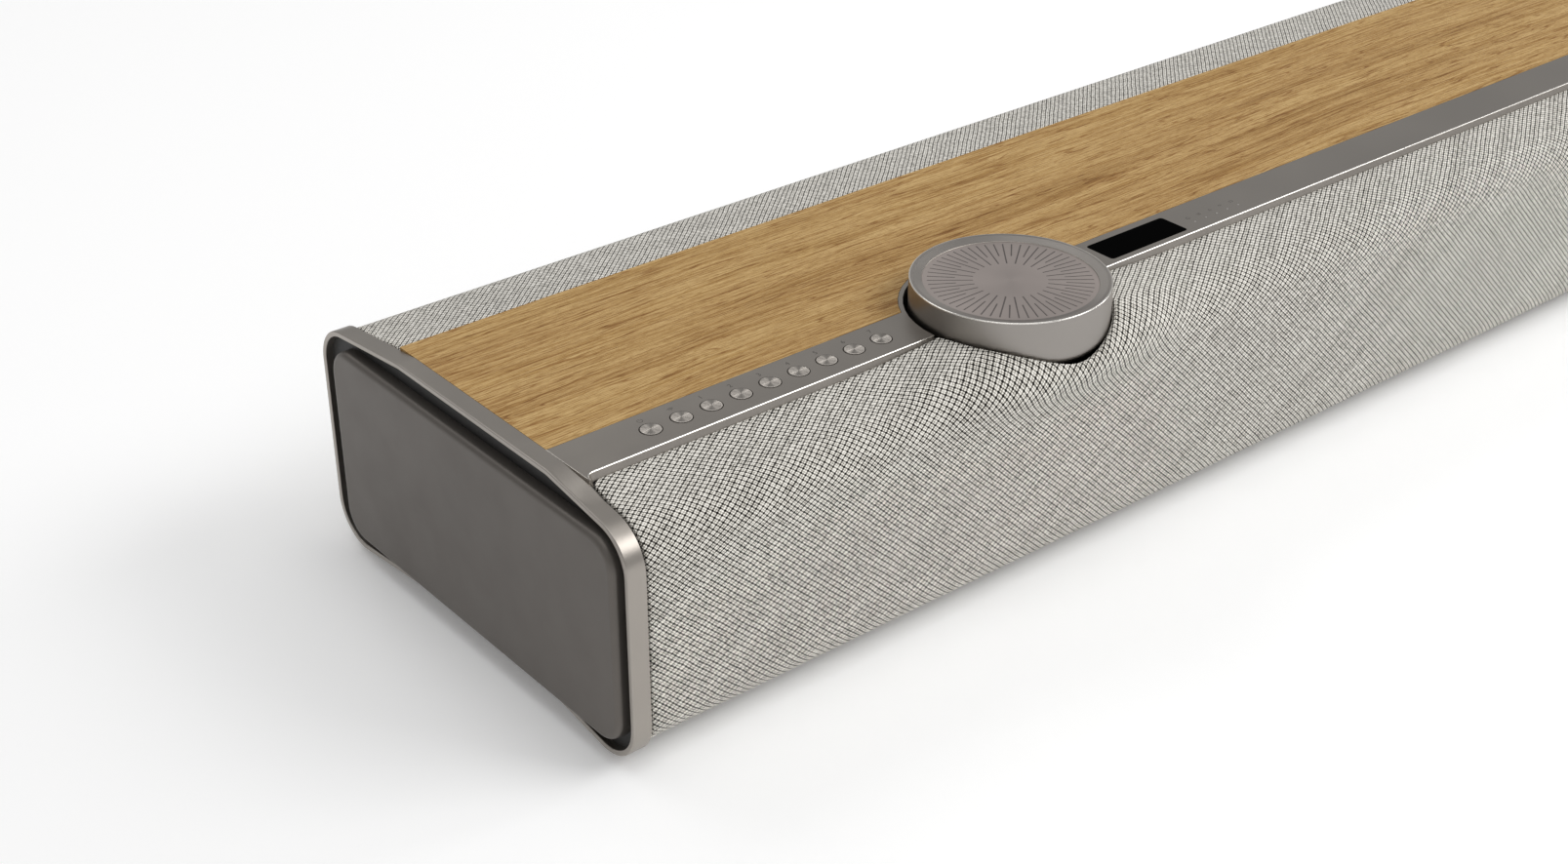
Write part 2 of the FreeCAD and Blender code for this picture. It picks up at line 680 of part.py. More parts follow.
def front_corners():
    """Front grille outline: each corner as functions of the inset."""
    face = dim("front_face") - "fabric_inset"
    slope = section("fabric_inset")
    return [
        (lambda t: dim(-45.0), lambda t: slope[0][1] + 12 + t, 0.0),
        (lambda t: dim(-45.0), lambda t: TOP + 0.5 - t, 0.0),
        (lambda t: -face + t, lambda t: slope[7][1] + 0.2 - t, 14.0),
        (lambda t: -face + t, lambda t: slope[0][1] + t, 13.0),
        (lambda t: -dim("bend_front") - 20, lambda t: dim("under_level") - 1.2 + t, 0.0),
    ]


def rear_corners():
    """Rear grille outline: each corner as functions of the inset."""
    face = dim("rear_face") - "fabric_inset"
    slope = section("fabric_inset")
    return [
        (lambda t: dim("bend_rear") + 27, lambda t: dim("under_level") - 0.6 + t, 0.0),
        (lambda t: face - t, lambda t: slope[3][1] + t, 13.0),
        (lambda t: face - t, lambda t: slope[4][1] - t, 13.0),
        (lambda t: dim(38.0), lambda t: TOP - 0.6 - t, 0.0),
        (lambda t: dim(38.0), lambda t: slope[3][1] + 12 + t, 0.0),
    ]


SWELL_CENTRE = (0.0, -66.0, 81.7)
SWELL_RADII = (70.0, 27.45, 14.1)


def swelling(name, inset):
    """Ellipsoid that lifts the fabric round the front of the dial."""
    obj = doc.addObject("Part::Ellipsoid", name)
    obj.Angle3 = 360
    obj.Angle1 = -90
    obj.Angle2 = 90
    bind(obj, "Radius2", SWELL_RADII[0] - dim(inset))
    bind(obj, "Radius3", SWELL_RADII[1] - dim(inset))
    bind(obj, "Radius1", SWELL_RADII[2] - dim(inset))
    place(obj, DIAL_X, SWELL_CENTRE[1], SWELL_CENTRE[2])
    return obj


def shell(name, corners, depth, thick, half_length, raised=False):
    """Skin between two insets of a grille outline."""
    outer = grille_solid(name + "_outer", corners, depth, half_length)
    inner = grille_solid(name + "_inner", corners, depth + thick, half_length + 1)
    if raised:
        outer = fuse(name + "_raised", [outer, swelling(name + "_swell_outer", depth)])
        inner = fuse(name + "_hollow", [inner, swelling(name + "_swell_inner", depth + thick)])
    return cut(name + "_skin", outer, [inner])


def front_grille(name):
    half_length = INNER_END - "groove"
    skin = shell(name, front_corners(), dim(0), dim("fabric_thick"), half_length, raised=True)
    back = box(name + "_back", (-500, 500), (-dim("strip_front") - 0.2, 0), (-20, 120))
    low = box(name + "_low", (-500, 500), (-70, 0), (-20, 30))
    hole = cylinder(name + "_hole", "z", (DIAL_X, DIAL_Y, 76), "grille_hole_radius", 40)
    return node(cut(name, skin, [back, low, hole]), name)


def front_carrier(name):
    """Perforated moulding that the front fabric is stretched over."""
    depth = dim("fabric_thick") + 0.05
    skin = shell(name, front_corners(), depth, dim("carrier_thick"), INNER_END)
    back = box(name + "_back", (-500, 500), (-dim("strip_front") - 0.2, 0), (-20, 120))
    low = box(name + "_low", (-500, 500), (-70, 0), (-20, 30))
    clear = cylinder(name + "_clear", "z", (DIAL_X, DIAL_Y, 66), 46, 60)
    ports = []
    for k, (x, radius) in enumerate(FRONT_PORTS):
        ports.append(cylinder(f"{name}_port_{k}", "y", (x, -100, "woofer_z"), radius, 30))
    return node(cut(name, skin, [back, low, clear] + ports), name)


FRONT_PORTS = [
    (-dim("woofer_x"), 27.5), (0.0, 27.5), (dim("woofer_x"), 27.5),
    (-dim("tweeter_x"), 11.0), (dim("tweeter_x"), 11.0),
]
IO_WINDOW = ((-102.0, 102.0), (18.0, 60.0))


def rear_grille(name):
    half_length = INNER_END - "groove"
    skin = shell(name, rear_corners(), dim(0), dim("fabric_thick"), half_length)
    front = box(name + "_front", (-500, 500), (0, dim("wood_rear") + 0.25), (-20, 120))
    low = box(name + "_low", (-500, 500), (0, 72), (-20, 30))
    window = box(name + "_window", IO_WINDOW[0], (80, 100), IO_WINDOW[1])
    return node(cut(name, skin, [front, low, window]), name)


def rear_carrier(name):
    depth = dim("fabric_thick") + 0.05
    skin = shell(name, rear_corners(), depth, dim("carrier_thick"), INNER_END)
    front = box(name + "_front", (-500, 500), (0, dim("wood_rear") + 0.25), (-20, 120))
    low = box(name + "_low", (-500, 500), (0, 72), (-20, 30))
    window = box(name + "_window", IO_WINDOW[0], (80, 100), IO_WINDOW[1])
    ports = []
    for k, side in enumerate((-1, 1)):
        start = (dim("upfire_x") * side, "upfire_y", 80)
        ports.append(cylinder(f"{name}_port_{k}", "z", start, 14, 20))
    return node(cut(name, skin, [front, low, window] + ports), name)


# ---------------------------------------------------------------- speaker case and underside
SOCKET_BASE = 31.6
# name, x, width, height, body length, cavity (width, height, depth), bottom of the body
SOCKETS = [
    ("power_inlet", -76.0, 22.0, 13.0, 22.0, (17.0, 8.8, 12.0), 32.0),
    ("hdmi_socket", -26.0, 16.0, 7.4, 14.0, (14.2, 4.8, 10.0), SOCKET_BASE),
    ("optical_socket", 6.0, 10.6, 10.6, 15.0, (8.4, 8.4, 9.0), SOCKET_BASE),
    ("network_socket", 38.0, 16.0, 13.6, 21.0, (11.8, 8.6, 14.0), SOCKET_BASE),
    ("usb_socket", 72.0, 14.6, 7.2, 15.0, (12.4, 4.9, 11.0), SOCKET_BASE),
]
BOARD_POSTS = [(-40.0, 12.0), (108.0, 12.0), (-40.0, 60.0), (108.0, 60.0)]
BASE_SCREWS = [(x, y) for x in (-400.0, -200.0, 0.0, 200.0, 400.0) for y in (-30.0, 24.0)]


def speaker_case(name):
    """Main moulding, open at the rear, with two walls round the electronics bay."""
    wall = dim("case_wall")
    front, rear = -dim("case_front"), dim("case_rear")
    low, top = dim("case_low"), dim("case_top")
    block = box(name + "_block", (-INNER_END, INNER_END), (front, rear), (low, top))
    bay = dim("bay_half")
    rooms = []
    for label, x in (("left", (wall - INNER_END, -bay)), ("bay", (wall - bay, bay - wall)),
                     ("right", (bay, INNER_END - wall))):
        room = box(f"{name}_{label}", x, (front + wall, rear + 5), (low + wall, top - wall))
        rooms.append(room)
    holes = []
    for k, side in enumerate((-1, 0, 1)):
        start = (dim("woofer_x") * side, front - 1, "woofer_z")
        holes.append(cylinder(f"{name}_woofer_{k}", "y", start, 26.6, 6))
    for k, side in enumerate((-1, 1)):
        start = (dim("tweeter_x") * side, front - 1, "woofer_z")
        holes.append(cylinder(f"{name}_tweeter_{k}", "y", start, 12.2, 6))
        start = (dim("upfire_x") * side, "upfire_y", top - 5)
        holes.append(cylinder(f"{name}_upfire_{k}", "z", start, 13.8, 8))
        face = INNER_END * side
        for j, (y, z) in enumerate(END_SCREWS):
            start = (face - 6, y, z)
            holes.append(cylinder(f"{name}_end_{k}_{j}", "x", start, END_SCREW_RADIUS + 0.1, 12))
    for k, (x, y) in enumerate(BASE_SCREWS):
        holes.append(cylinder(f"{name}_base_{k}", "z", (x, y, low - 1), 1.4, 6))
    posts = []
    for k, (x, y) in enumerate(BOARD_POSTS):
        height = SOCKET_BASE - 1.6 - low - wall + 0.5
        posts.append(cylinder(f"{name}_post_{k}", "z", (x, y, low + wall - 0.5), 3, height))
    hollowed = cut(name + "_hollowed", block, rooms + holes)
    return node(fuse(name, [hollowed] + posts), name)


def socket_holes(name, y, play):
    holes = []
    for label, x, width, height, _, _, bottom in SOCKETS:
        wide, tall = width / 2 + play, height + play
        holes.append(box(f"{name}_{label}", (x - wide, x + wide), y, (bottom - play, bottom + tall)))
    return holes


def rear_cover(name):
    """Cover of the case, with a window behind the connector panel."""
    rear = dim("case_rear")
    plate = box(name + "_plate", (-INNER_END, INNER_END), (rear, rear + "cover_thick"), ("case_low", "case_top"))
    holes = [box(name + "_window", (-89, 89), (70, 100), (23, 55))]
    for k, (x, z) in enumerate(IO_SCREWS):
        holes.append(cylinder(f"{name}_screw_{k}", "y", (x, rear - 5, z), 1.25, 20))
    return node(cut(name, plate, holes), name)


IO_SCREWS = [(-92.0, 25.0), (92.0, 25.0), (-92.0, 53.0), (92.0, 53.0)]


def connector_panel(name):
    near = dim("case_rear") + "cover_thick"
    corners = rectangle((-98.0, 98.0), (-56.5, -21.5), 3.0)
    body = padded_body(name + "_plate", "XZ_Plane", [[(u, -dim(v), r) for u, v, r in corners]], "io_thick")
    place(body, 0, near + "io_thick", 0)
    holes = socket_holes(name, (70, 100), 0.1)
    for k, (x, z) in enumerate(IO_SCREWS):
        holes.append(cylinder(f"{name}_screw_{k}", "y", (x, 70, z), 1.25, 40))
    return node(cut(name, body, holes), name)


def connector_screws(name):
    face = dim("case_rear") + "cover_thick" + "io_thick"
    solids = []
    for k, (x, z) in enumerate(IO_SCREWS):
        head = cylinder(f"io_head_{k}", "y", (x, face, z), 2.4, 1.2)
        shank = cylinder(f"io_shank_{k}", "y", (x, face - 5, z), 1.1, 5.2)
        slot = box(f"io_slot_{k}", (x - 1.6, x + 1.6), (face + 0.7, face + 2), (z - 0.3, z + 0.3))
        cross = box(f"io_cross_{k}", (x - 0.3, x + 0.3), (face + 0.7, face + 2), (z - 1.6, z + 1.6))
        solids.append(cut(f"io_screw_{k}", fuse(f"io_pin_{k}", [head, shank]), [slot, cross]))
    return node(group(name, solids), name)


def socket(label, x, width, height, length, cavity, bottom):
    """Socket body flush with the connector panel, with its cavity and contacts."""
    face = dim("case_rear") + "cover_thick" + "io_thick"
    middle = bottom + height / 2
    body = box(label + "_body", (x - width / 2, x + width / 2), (face - length, face), (bottom, bottom + height))
    wide, tall, deep = cavity
    hollow = box(label + "_cavity", (x - wide / 2, x + wide / 2), (face - deep, face + 1),
                 (middle - tall / 2, middle + tall / 2))
    hollowed = cut(label + "_shell", body, [hollow])
    if label == "power_inlet":
        contacts = [cylinder(f"{label}_pin_{k}", "y", (x + off, face - deep - 1, middle), 1.2, deep - 1)
                    for k, off in enumerate((-4.3, 4.3))]
    elif label == "optical_socket":
        contacts = [cylinder(label + "_lens", "y", (x, face - deep - 1, middle), 1.2, 4)]
    elif label == "network_socket":
        contacts = [box(f"{label}_contact_{k}", (x - 3.8 + k, x - 3.4 + k), (face - deep - 1, face - 5),
                        (middle + tall / 2 - 1.2, middle + tall / 2 + 0.4)) for k in range(8)]
    else:
        contacts = [box(label + "_tongue", (x - wide / 2 + 1.6, x + wide / 2 - 1.6), (face - deep - 1, face - 2),
                        (middle - 0.6, middle + 0.6))]
    return node(fuse(label, [hollowed] + contacts), label)


def base_plate(name):
    """Underside between the lower ends of the grilles."""
    low = dim("under_level") + 2
    front_fall = dim("front_drop") / (dim("front_face") - "bend_front")
    rear_fall = dim("rear_drop") / (dim("rear_face") - "bend_rear")
    front_edge, rear_edge = -69.6, 71.6
    front_z = low - (-dim("bend_front") - front_edge) * front_fall
    rear_z = low - (rear_edge - dim("bend_rear")) * rear_fall
    top = dim("case_low")
    corners = [
        (front_edge, front_z, 0.0), (-dim("bend_front"), low, 12.0), (dim("bend_rear"), low, 12.0),
        (rear_edge, rear_z, 0.0), (rear_edge, rear_z + 2.5, 0.0), (64.0, top, 0.0),
        (-62.0, top, 0.0), (front_edge, front_z + 2.5, 0.0),
    ]
    plate = padded_body(name + "_plate", "YZ_Plane", [corners], INNER_END * 2, x=-INNER_END)
    holes = []
    for k, (x, y) in enumerate(BASE_SCREWS):
        holes.append(cylinder(f"{name}_hole_{k}", "z", (x, y, low - 2), 1.5, 10))
        holes.append(cylinder(f"{name}_sink_{k}", "z", (x, y, low - 2), 3.2, 4))
    return node(cut(name, plate, holes), name)


def base_screws(name):
    low = dim("under_level") + 4
    solids = []
    for k, (x, y) in enumerate(BASE_SCREWS):
        head = cylinder(f"base_head_{k}", "z", (x, y, low - 1.5), 3.0, 1.5)
        shank = cylinder(f"base_shank_{k}", "z", (x, y, low - 0.5), 1.3, 6)
        solids.append(fuse(f"base_screw_{k}", [head, shank]))
    return node(group(name, solids), name)


def rubber_feet(name):
    height = dim("under_level") + 2
    solids = []
    for side in (-1, 1):
        for y in (-dim("foot_y") - 3, dim("foot_y") - 5):
            label = f"foot_{'right' if side > 0 else 'left'}_{'front' if y.value < 0 else 'rear'}"
            foot = turned_body(label, [
                (0.0, 0.0, 0.0), (dim("foot_radius") - 1, 0.0, 1.0), ("foot_radius", height, 0.0),
                (0.0, height, 0.0),
            ])
            place(foot, dim("foot_x") * side, y)
            solids.append(foot)
    return node(group(name, solids), name)


# ---------------------------------------------------------------- drivers
def driver_frame(name, scale, x, y, z, rotation):
    """Basket with magnet; the local Z axis points out of the case."""
    s = scale
    body = turned_body(name, [
        (31.0 * s, 0.0, 0.0), (31.0 * s, 2.0 * s, 0.5 * s), (25.4 * s, 2.0 * s, 0.0), (25.4 * s, -3.0 * s, 0.0),
        (15.5 * s, -15.0 * s, 0.0), (11.6 * s, -15.0 * s, 0.0), (11.6 * s, -30.0 * s, 0.0),
        (9.4 * s, -30.0 * s, 0.0), (9.4 * s, -15.0 * s, 0.0), (0.0, -15.0 * s, 0.0), (0.0, -35.0 * s, 0.0),
        (20.0 * s, -35.0 * s, 1.0 * s), (20.0 * s, -19.0 * s, 0.0), (16.0 * s, -17.0 * s, 0.0),
        (26.4 * s, -3.6 * s, 0.0), (26.4 * s, 0.0, 0.0),
    ])
    body.Placement = FreeCAD.Placement(Vector(), rotation)
    place(body, x, y, z)
    return node(body, name)


def driver_cone(name, scale, x, y, z, rotation):
    """Cone, dust cap, roll surround and coil former, which move together."""
    s = scale
    body = turned_body(name, [
        (0.0, -6.0 * s, 0.0), (10.0 * s, -8.5 * s, 0.0), (21.4 * s, 0.2 * s, 0.0), (23.2 * s, 1.9 * s, 1.0 * s),
        (25.0 * s, 0.3 * s, 0.0), (25.0 * s, -0.5 * s, 0.0), (23.2 * s, 0.9 * s, 0.6 * s),
        (21.8 * s, -0.8 * s, 0.0), (10.8 * s, -10.0 * s, 0.0), (10.8 * s, -22.0 * s, 0.0),
        (10.1 * s, -22.0 * s, 0.0), (10.1 * s, -9.6 * s, 0.0), (0.0, -7.0 * s, 0.0),
    ])
    body.Placement = FreeCAD.Placement(Vector(), rotation)
    place(body, x, y, z)
    return node(body, name)


def tweeter(name, x):
    body = turned_body(name, [
        (0.0, 1.6, 0.0), (6.0, 0.4, 0.0), (8.0, -0.6, 0.0), (11.0, 0.8, 0.0), (15.0, 2.0, 0.4), (15.0, 0.0, 0.0),
        (11.8, 0.0, 0.0), (11.8, -14.0, 1.0), (0.0, -14.0, 0.0),
    ])
    body.Placement = FreeCAD.Placement(Vector(), FACING_FRONT)
    place(body, x, -dim("case_front"), "woofer_z")
    return node(body, name)


FACING_FRONT = FreeCAD.Rotation(Vector(1, 0, 0), 90)
FACING_UP = FreeCAD.Rotation()
UPFIRE_SCALE = 0.52


# ---------------------------------------------------------------- electronics
def main_board(name):
    top = SOCKET_BASE
    board = box(name + "_plate", (-44, 112), (8, 81.6), (top - 1.6, top))
    chips = []
    for k, (x, y, wide, deep, tall) in enumerate(CHIPS):
        chips.append(box(f"{name}_chip_{k}", (x, x + wide), (y, y + deep), (top - 0.2, top + tall)))
    return node(fuse(name, [board] + chips), name)


CHIPS = [
    (-36.0, 20.0, 14.0, 14.0, 1.2), (-16.0, 44.0, 12.0, 9.0, 1.4), (72.0, 18.0, 18.0, 18.0, 1.6),
    (82.0, 46.0, 10.0, 10.0, 1.2), (98.0, 14.0, 10.0, 10.0, 12.0), (98.0, 28.0, 10.0, 10.0, 12.0),
]


def heat_sink(name):
    top = SOCKET_BASE
    plate = box(name + "_plate", (0, 60), (14, 44), (top, top + 3))
    fins = [box(f"{name}_fin_{k}", (8 * k, 8 * k + 2), (14, 44), (top + 2, top + 18)) for k in range(8)]
    return node(fuse(name, [plate] + fins), name)


def power_supply(name):
    low = dim("case_low") + "case_wall"
    shell_ = box(name + "_can", (-112, -50), (-20, 52), (low, low + 36))
    slots = [box(f"{name}_slot_{k}", (-104 + 8 * k, -100 + 8 * k), (-10, 42), (low + 34, low + 40))
             for k in range(6)]
    return node(cut(name, shell_, slots), name)


# ---------------------------------------------------------------- assembly
for side_name, side in (("left", -1), ("right", 1)):
    end_frame(f"{side_name}_end_frame", side)
    end_panel(f"{side_name}_end_panel", side)
    end_bulkhead(f"{side_name}_end_bulkhead", side)
end_screws("end_screws")
timber_top("timber_top")
control_strip("control_strip")
top_tray("top_tray")
dial_well("dial_well")
dial_shell("dial_shell")
dial_face("dial_face")
dial_shaft("dial_shaft")
dial_encoder("dial_encoder")
for index, button_name in enumerate(BUTTON_NAMES):
    button(button_name, index)
button_board("button_board")
button_switches("button_switches")
display_window("display_window")
display_board("display_board")
indicator_lamps("indicator_lamps")
front_grille("front_grille")
front_carrier("front_grille_carrier")
rear_grille("rear_grille")
rear_carrier("rear_grille_carrier")
speaker_case("speaker_case")
rear_cover("rear_cover")
connector_panel("connector_panel")
connector_screws("connector_screws")
for row in SOCKETS:
    socket(*row)
base_plate("base_plate")
base_screws("base_screws")
rubber_feet("rubber_feet")
for place_name, side in (("left", -1), ("centre", 0), ("right", 1)):
    spot = (dim("woofer_x") * side, -dim("case_front"), dim("woofer_z"), FACING_FRONT)
    driver_frame(f"{place_name}_woofer_frame", 1.0, *spot)
    driver_cone(f"{place_name}_woofer_cone", 1.0, *spot)
for place_name, side in (("left", -1), ("right", 1)):
    tweeter(f"{place_name}_tweeter", dim("tweeter_x") * side)
    spot = (dim("upfire_x") * side, dim("upfire_y"), dim("case_top"), FACING_UP)
    driver_frame(f"{place_name}_upfiring_frame", UPFIRE_SCALE, *spot)
    driver_cone(f"{place_name}_upfiring_cone", UPFIRE_SCALE, *spot)
main_board("main_board")
heat_sink("heat_sink")
power_supply("power_supply")
doc.recompute()

for obj in doc.Objects:
    if "Invalid" in obj.State or "Error" in obj.State:
        raise RuntimeError(f"{obj.Label}: {obj.State}")

os.makedirs("parts", exist_ok=True)
for obj in NODES:
    if obj.Shape.isNull() or not obj.Shape.isValid():
        raise RuntimeError(f"{obj.Label}: bad shape")
    obj.Shape.exportStep(f"parts/{obj.Label}.step")
    bounds = obj.Shape.BoundBox
    corner = [round(v, 2) for v in (bounds.XMin, bounds.XMax, bounds.YMin, bounds.YMax, bounds.ZMin, bounds.ZMax)]
    print(f"{obj.Label:24s} solids {len(obj.Shape.Solids):2d}  {corner}")
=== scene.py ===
import math

import bpy
import numpy as np
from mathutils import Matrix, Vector


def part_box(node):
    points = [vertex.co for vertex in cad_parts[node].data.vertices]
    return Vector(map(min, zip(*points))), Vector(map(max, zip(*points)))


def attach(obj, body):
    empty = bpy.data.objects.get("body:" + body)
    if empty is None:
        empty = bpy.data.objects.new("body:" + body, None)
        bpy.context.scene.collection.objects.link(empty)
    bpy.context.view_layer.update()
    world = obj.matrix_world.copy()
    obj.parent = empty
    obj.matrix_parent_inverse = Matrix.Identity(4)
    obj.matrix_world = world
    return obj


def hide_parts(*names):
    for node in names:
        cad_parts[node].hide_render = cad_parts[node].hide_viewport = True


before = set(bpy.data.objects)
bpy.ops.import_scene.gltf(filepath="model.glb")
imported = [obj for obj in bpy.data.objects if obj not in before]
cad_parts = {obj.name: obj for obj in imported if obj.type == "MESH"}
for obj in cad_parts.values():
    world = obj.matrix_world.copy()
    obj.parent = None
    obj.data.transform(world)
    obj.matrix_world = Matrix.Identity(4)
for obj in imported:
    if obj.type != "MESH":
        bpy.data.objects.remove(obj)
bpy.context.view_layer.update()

MM = 0.001


def corners_of(node):
    """Lowest and highest corner of a CAD node, in millimetres."""
    low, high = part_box(node)
    return np.array(low) / MM, np.array(high) / MM


FRAME_LOW, FRAME_HIGH = corners_of("left_end_frame")
WOOD_LOW, WOOD_HIGH = corners_of("timber_top")
DIAL_LOW, DIAL_HIGH = corners_of("dial_shell")
DIAL_X, DIAL_Y = (DIAL_LOW[0] + DIAL_HIGH[0]) / 2, (DIAL_LOW[1] + DIAL_HIGH[1]) / 2
TOP = corners_of("control_strip")[1][2]
BUTTONS = ["power_button", "source_button"] + [f"preset_button_{k}" for k in range(1, 8)]


# ---------------------------------------------------------------- node materials
class Nodes:
    """Short calls that build one material's node tree."""

    def __init__(self, name):
        self.material = bpy.data.materials.new(name)
        self.material.use_nodes = True
        self.tree = self.material.node_tree
        self.tree.nodes.clear()
        self.output = self.tree.nodes.new("ShaderNodeOutputMaterial")
        self.shader = self.tree.nodes.new("ShaderNodeBsdfPrincipled")
        self.tree.links.new(self.shader.outputs[0], self.output.inputs["Surface"])

    def put(self, target, value):
        """Gives a socket a value or links it to another."""
        if isinstance(value, bpy.types.NodeSocket):
            self.tree.links.new(value, target)
        else:
            target.default_value = value

    def set(self, **values):
        """Values or links for the shader's own sockets, with _ for a space in their names."""
        for key, value in values.items():
            self.put(self.shader.inputs[key.replace("_", " ")], value)
        return self

    def node(self, kind, inputs=(), **settings):
        made = self.tree.nodes.new("ShaderNode" + kind)
        for key, value in settings.items():
            setattr(made, key, value)
        for key, value in dict(inputs).items():
            self.put(made.inputs[key], value)
        return made

    def math(self, operation, *values):
        made = self.node("Math", operation=operation)
        for socket, value in zip(made.inputs, values):
            self.put(socket, value)
        return made.outputs[0]

    def position(self):
        return self.node("TexCoord").outputs["Object"]

    def scaled(self, vector, scale):
        return self.node("Mapping", {"Vector": vector, "Scale": scale}).outputs[0]

    def noise(self, vector, scale, detail, roughness=0.5):
        inputs = {"Vector": vector, "Scale": scale, "Detail": detail, "Roughness": roughness}
        return self.node("TexNoise", inputs).outputs["Fac"]

    def remap(self, value, low, high, to_low, to_high, smooth=False):
        kind = "SMOOTHSTEP" if smooth else "LINEAR"
        made = self.node("MapRange", interpolation_type=kind)
        for key, number in zip(("Value", "From Min", "From Max", "To Min", "To Max"),
                               (value, low, high, to_low, to_high)):
            self.put(made.inputs[key], number)
        return made.outputs[0]

    def ramp(self, value, stops):
        made = self.node("ValToRGB", {"Fac": value})
        elements = made.color_ramp.elements
        while len(elements) < len(stops):
            elements.new(0.5)
        for element, (place, colour) in zip(elements, stops):
            element.position = place
            element.color = (*colour, 1.0)
        return made.outputs["Color"]

    def mix(self, factor, first, second, blend="MIX"):
        """Mix of two colours; the node's colour sockets are its inputs 6 and 7 and its output 2."""
        made = self.node("Mix", data_type="RGBA", blend_type=blend)
        self.put(made.inputs[0], factor)
        self.put(made.inputs[6], first)
        self.put(made.inputs[7], second)
        return made.outputs[2]

    def bump(self, height, distance, strength=1.0):
        return self.node("Bump", {"Height": height, "Distance": distance, "Strength": strength}).outputs[0]

    def vector(self, operation, first, second):
        return self.node("VectorMath", {0: first, 1: second}, operation=operation).outputs[0]

    def tinted(self, colour, shade):
        """A colour times a grey level."""
        grey = self.node("CombineColor", {0: shade, 1: shade, 2: shade}).outputs[0]
        return self.mix(1.0, rgba(colour), grey, "MULTIPLY")


def linear(red, green, blue):
    """Linear colour of an sRGB one in 0-255."""
    out = []
    for value in (red, green, blue):
        value /= 255.0
        out.append(value / 12.92 if value <= 0.04045 else ((value + 0.055) / 1.055) ** 2.4)
    return tuple(out)


def rgba(colour):
    return (*colour, 1.0)


def satin_metal(name, colour, roughness, metallic=1.0):
    """Bead-blasted, anodised metal: fine grain, faint tone changes and uneven gloss."""
    n = Nodes(name)
    place = n.position()
    cloud = n.noise(place, 14.0, 2.0)
    fine = n.noise(place, 5200.0, 2.0)
    tone = n.remap(cloud, 0.3, 0.7, 0.94, 1.06)
    speck = n.remap(fine, 0.3, 0.7, 0.985, 1.015)
    uneven = n.noise(place, 60.0, 4.0)
    n.set(Base_Color=n.tinted(colour, n.math("MULTIPLY", tone, speck)), Metallic=metallic,
          Roughness=n.remap(uneven, 0.3, 0.7, roughness - 0.03, roughness + 0.04),
          Normal=n.bump(fine, 0.000006, 0.6))
    return n.material


def moulded_plastic(name, colour, roughness, grain=0.0006):
    """Injection-moulded plastic with an eroded texture whose grain is given in metres."""
    n = Nodes(name)
    place = n.position()
    pebble = n.noise(place, 1.0 / grain, 3.0, 0.6)
    cloud = n.noise(place, 9.0, 3.0)
    shade = n.remap(cloud, 0.3, 0.7, 0.92, 1.06)
    n.set(Base_Color=n.tinted(colour, shade), Normal=n.bump(pebble, 0.00006, 0.7),
          Roughness=n.remap(pebble, 0.3, 0.7, roughness - 0.06, roughness + 0.08))
    return n.material


# ---------------------------------------------------------------- fabric
THREAD_S, THREAD_T = (0.317, 0.480), (0.400, -0.420)     # pairs of yarns per millimetre, along u and v
BEAD_POWER, BEAD_SHARE = 0.7, 0.56
GROOVE_S, GROOVE_T, GROOVE_SHARES = 0.88, 0.84, (0.52, 0.48)
HOLE = (0.25, 1.0)


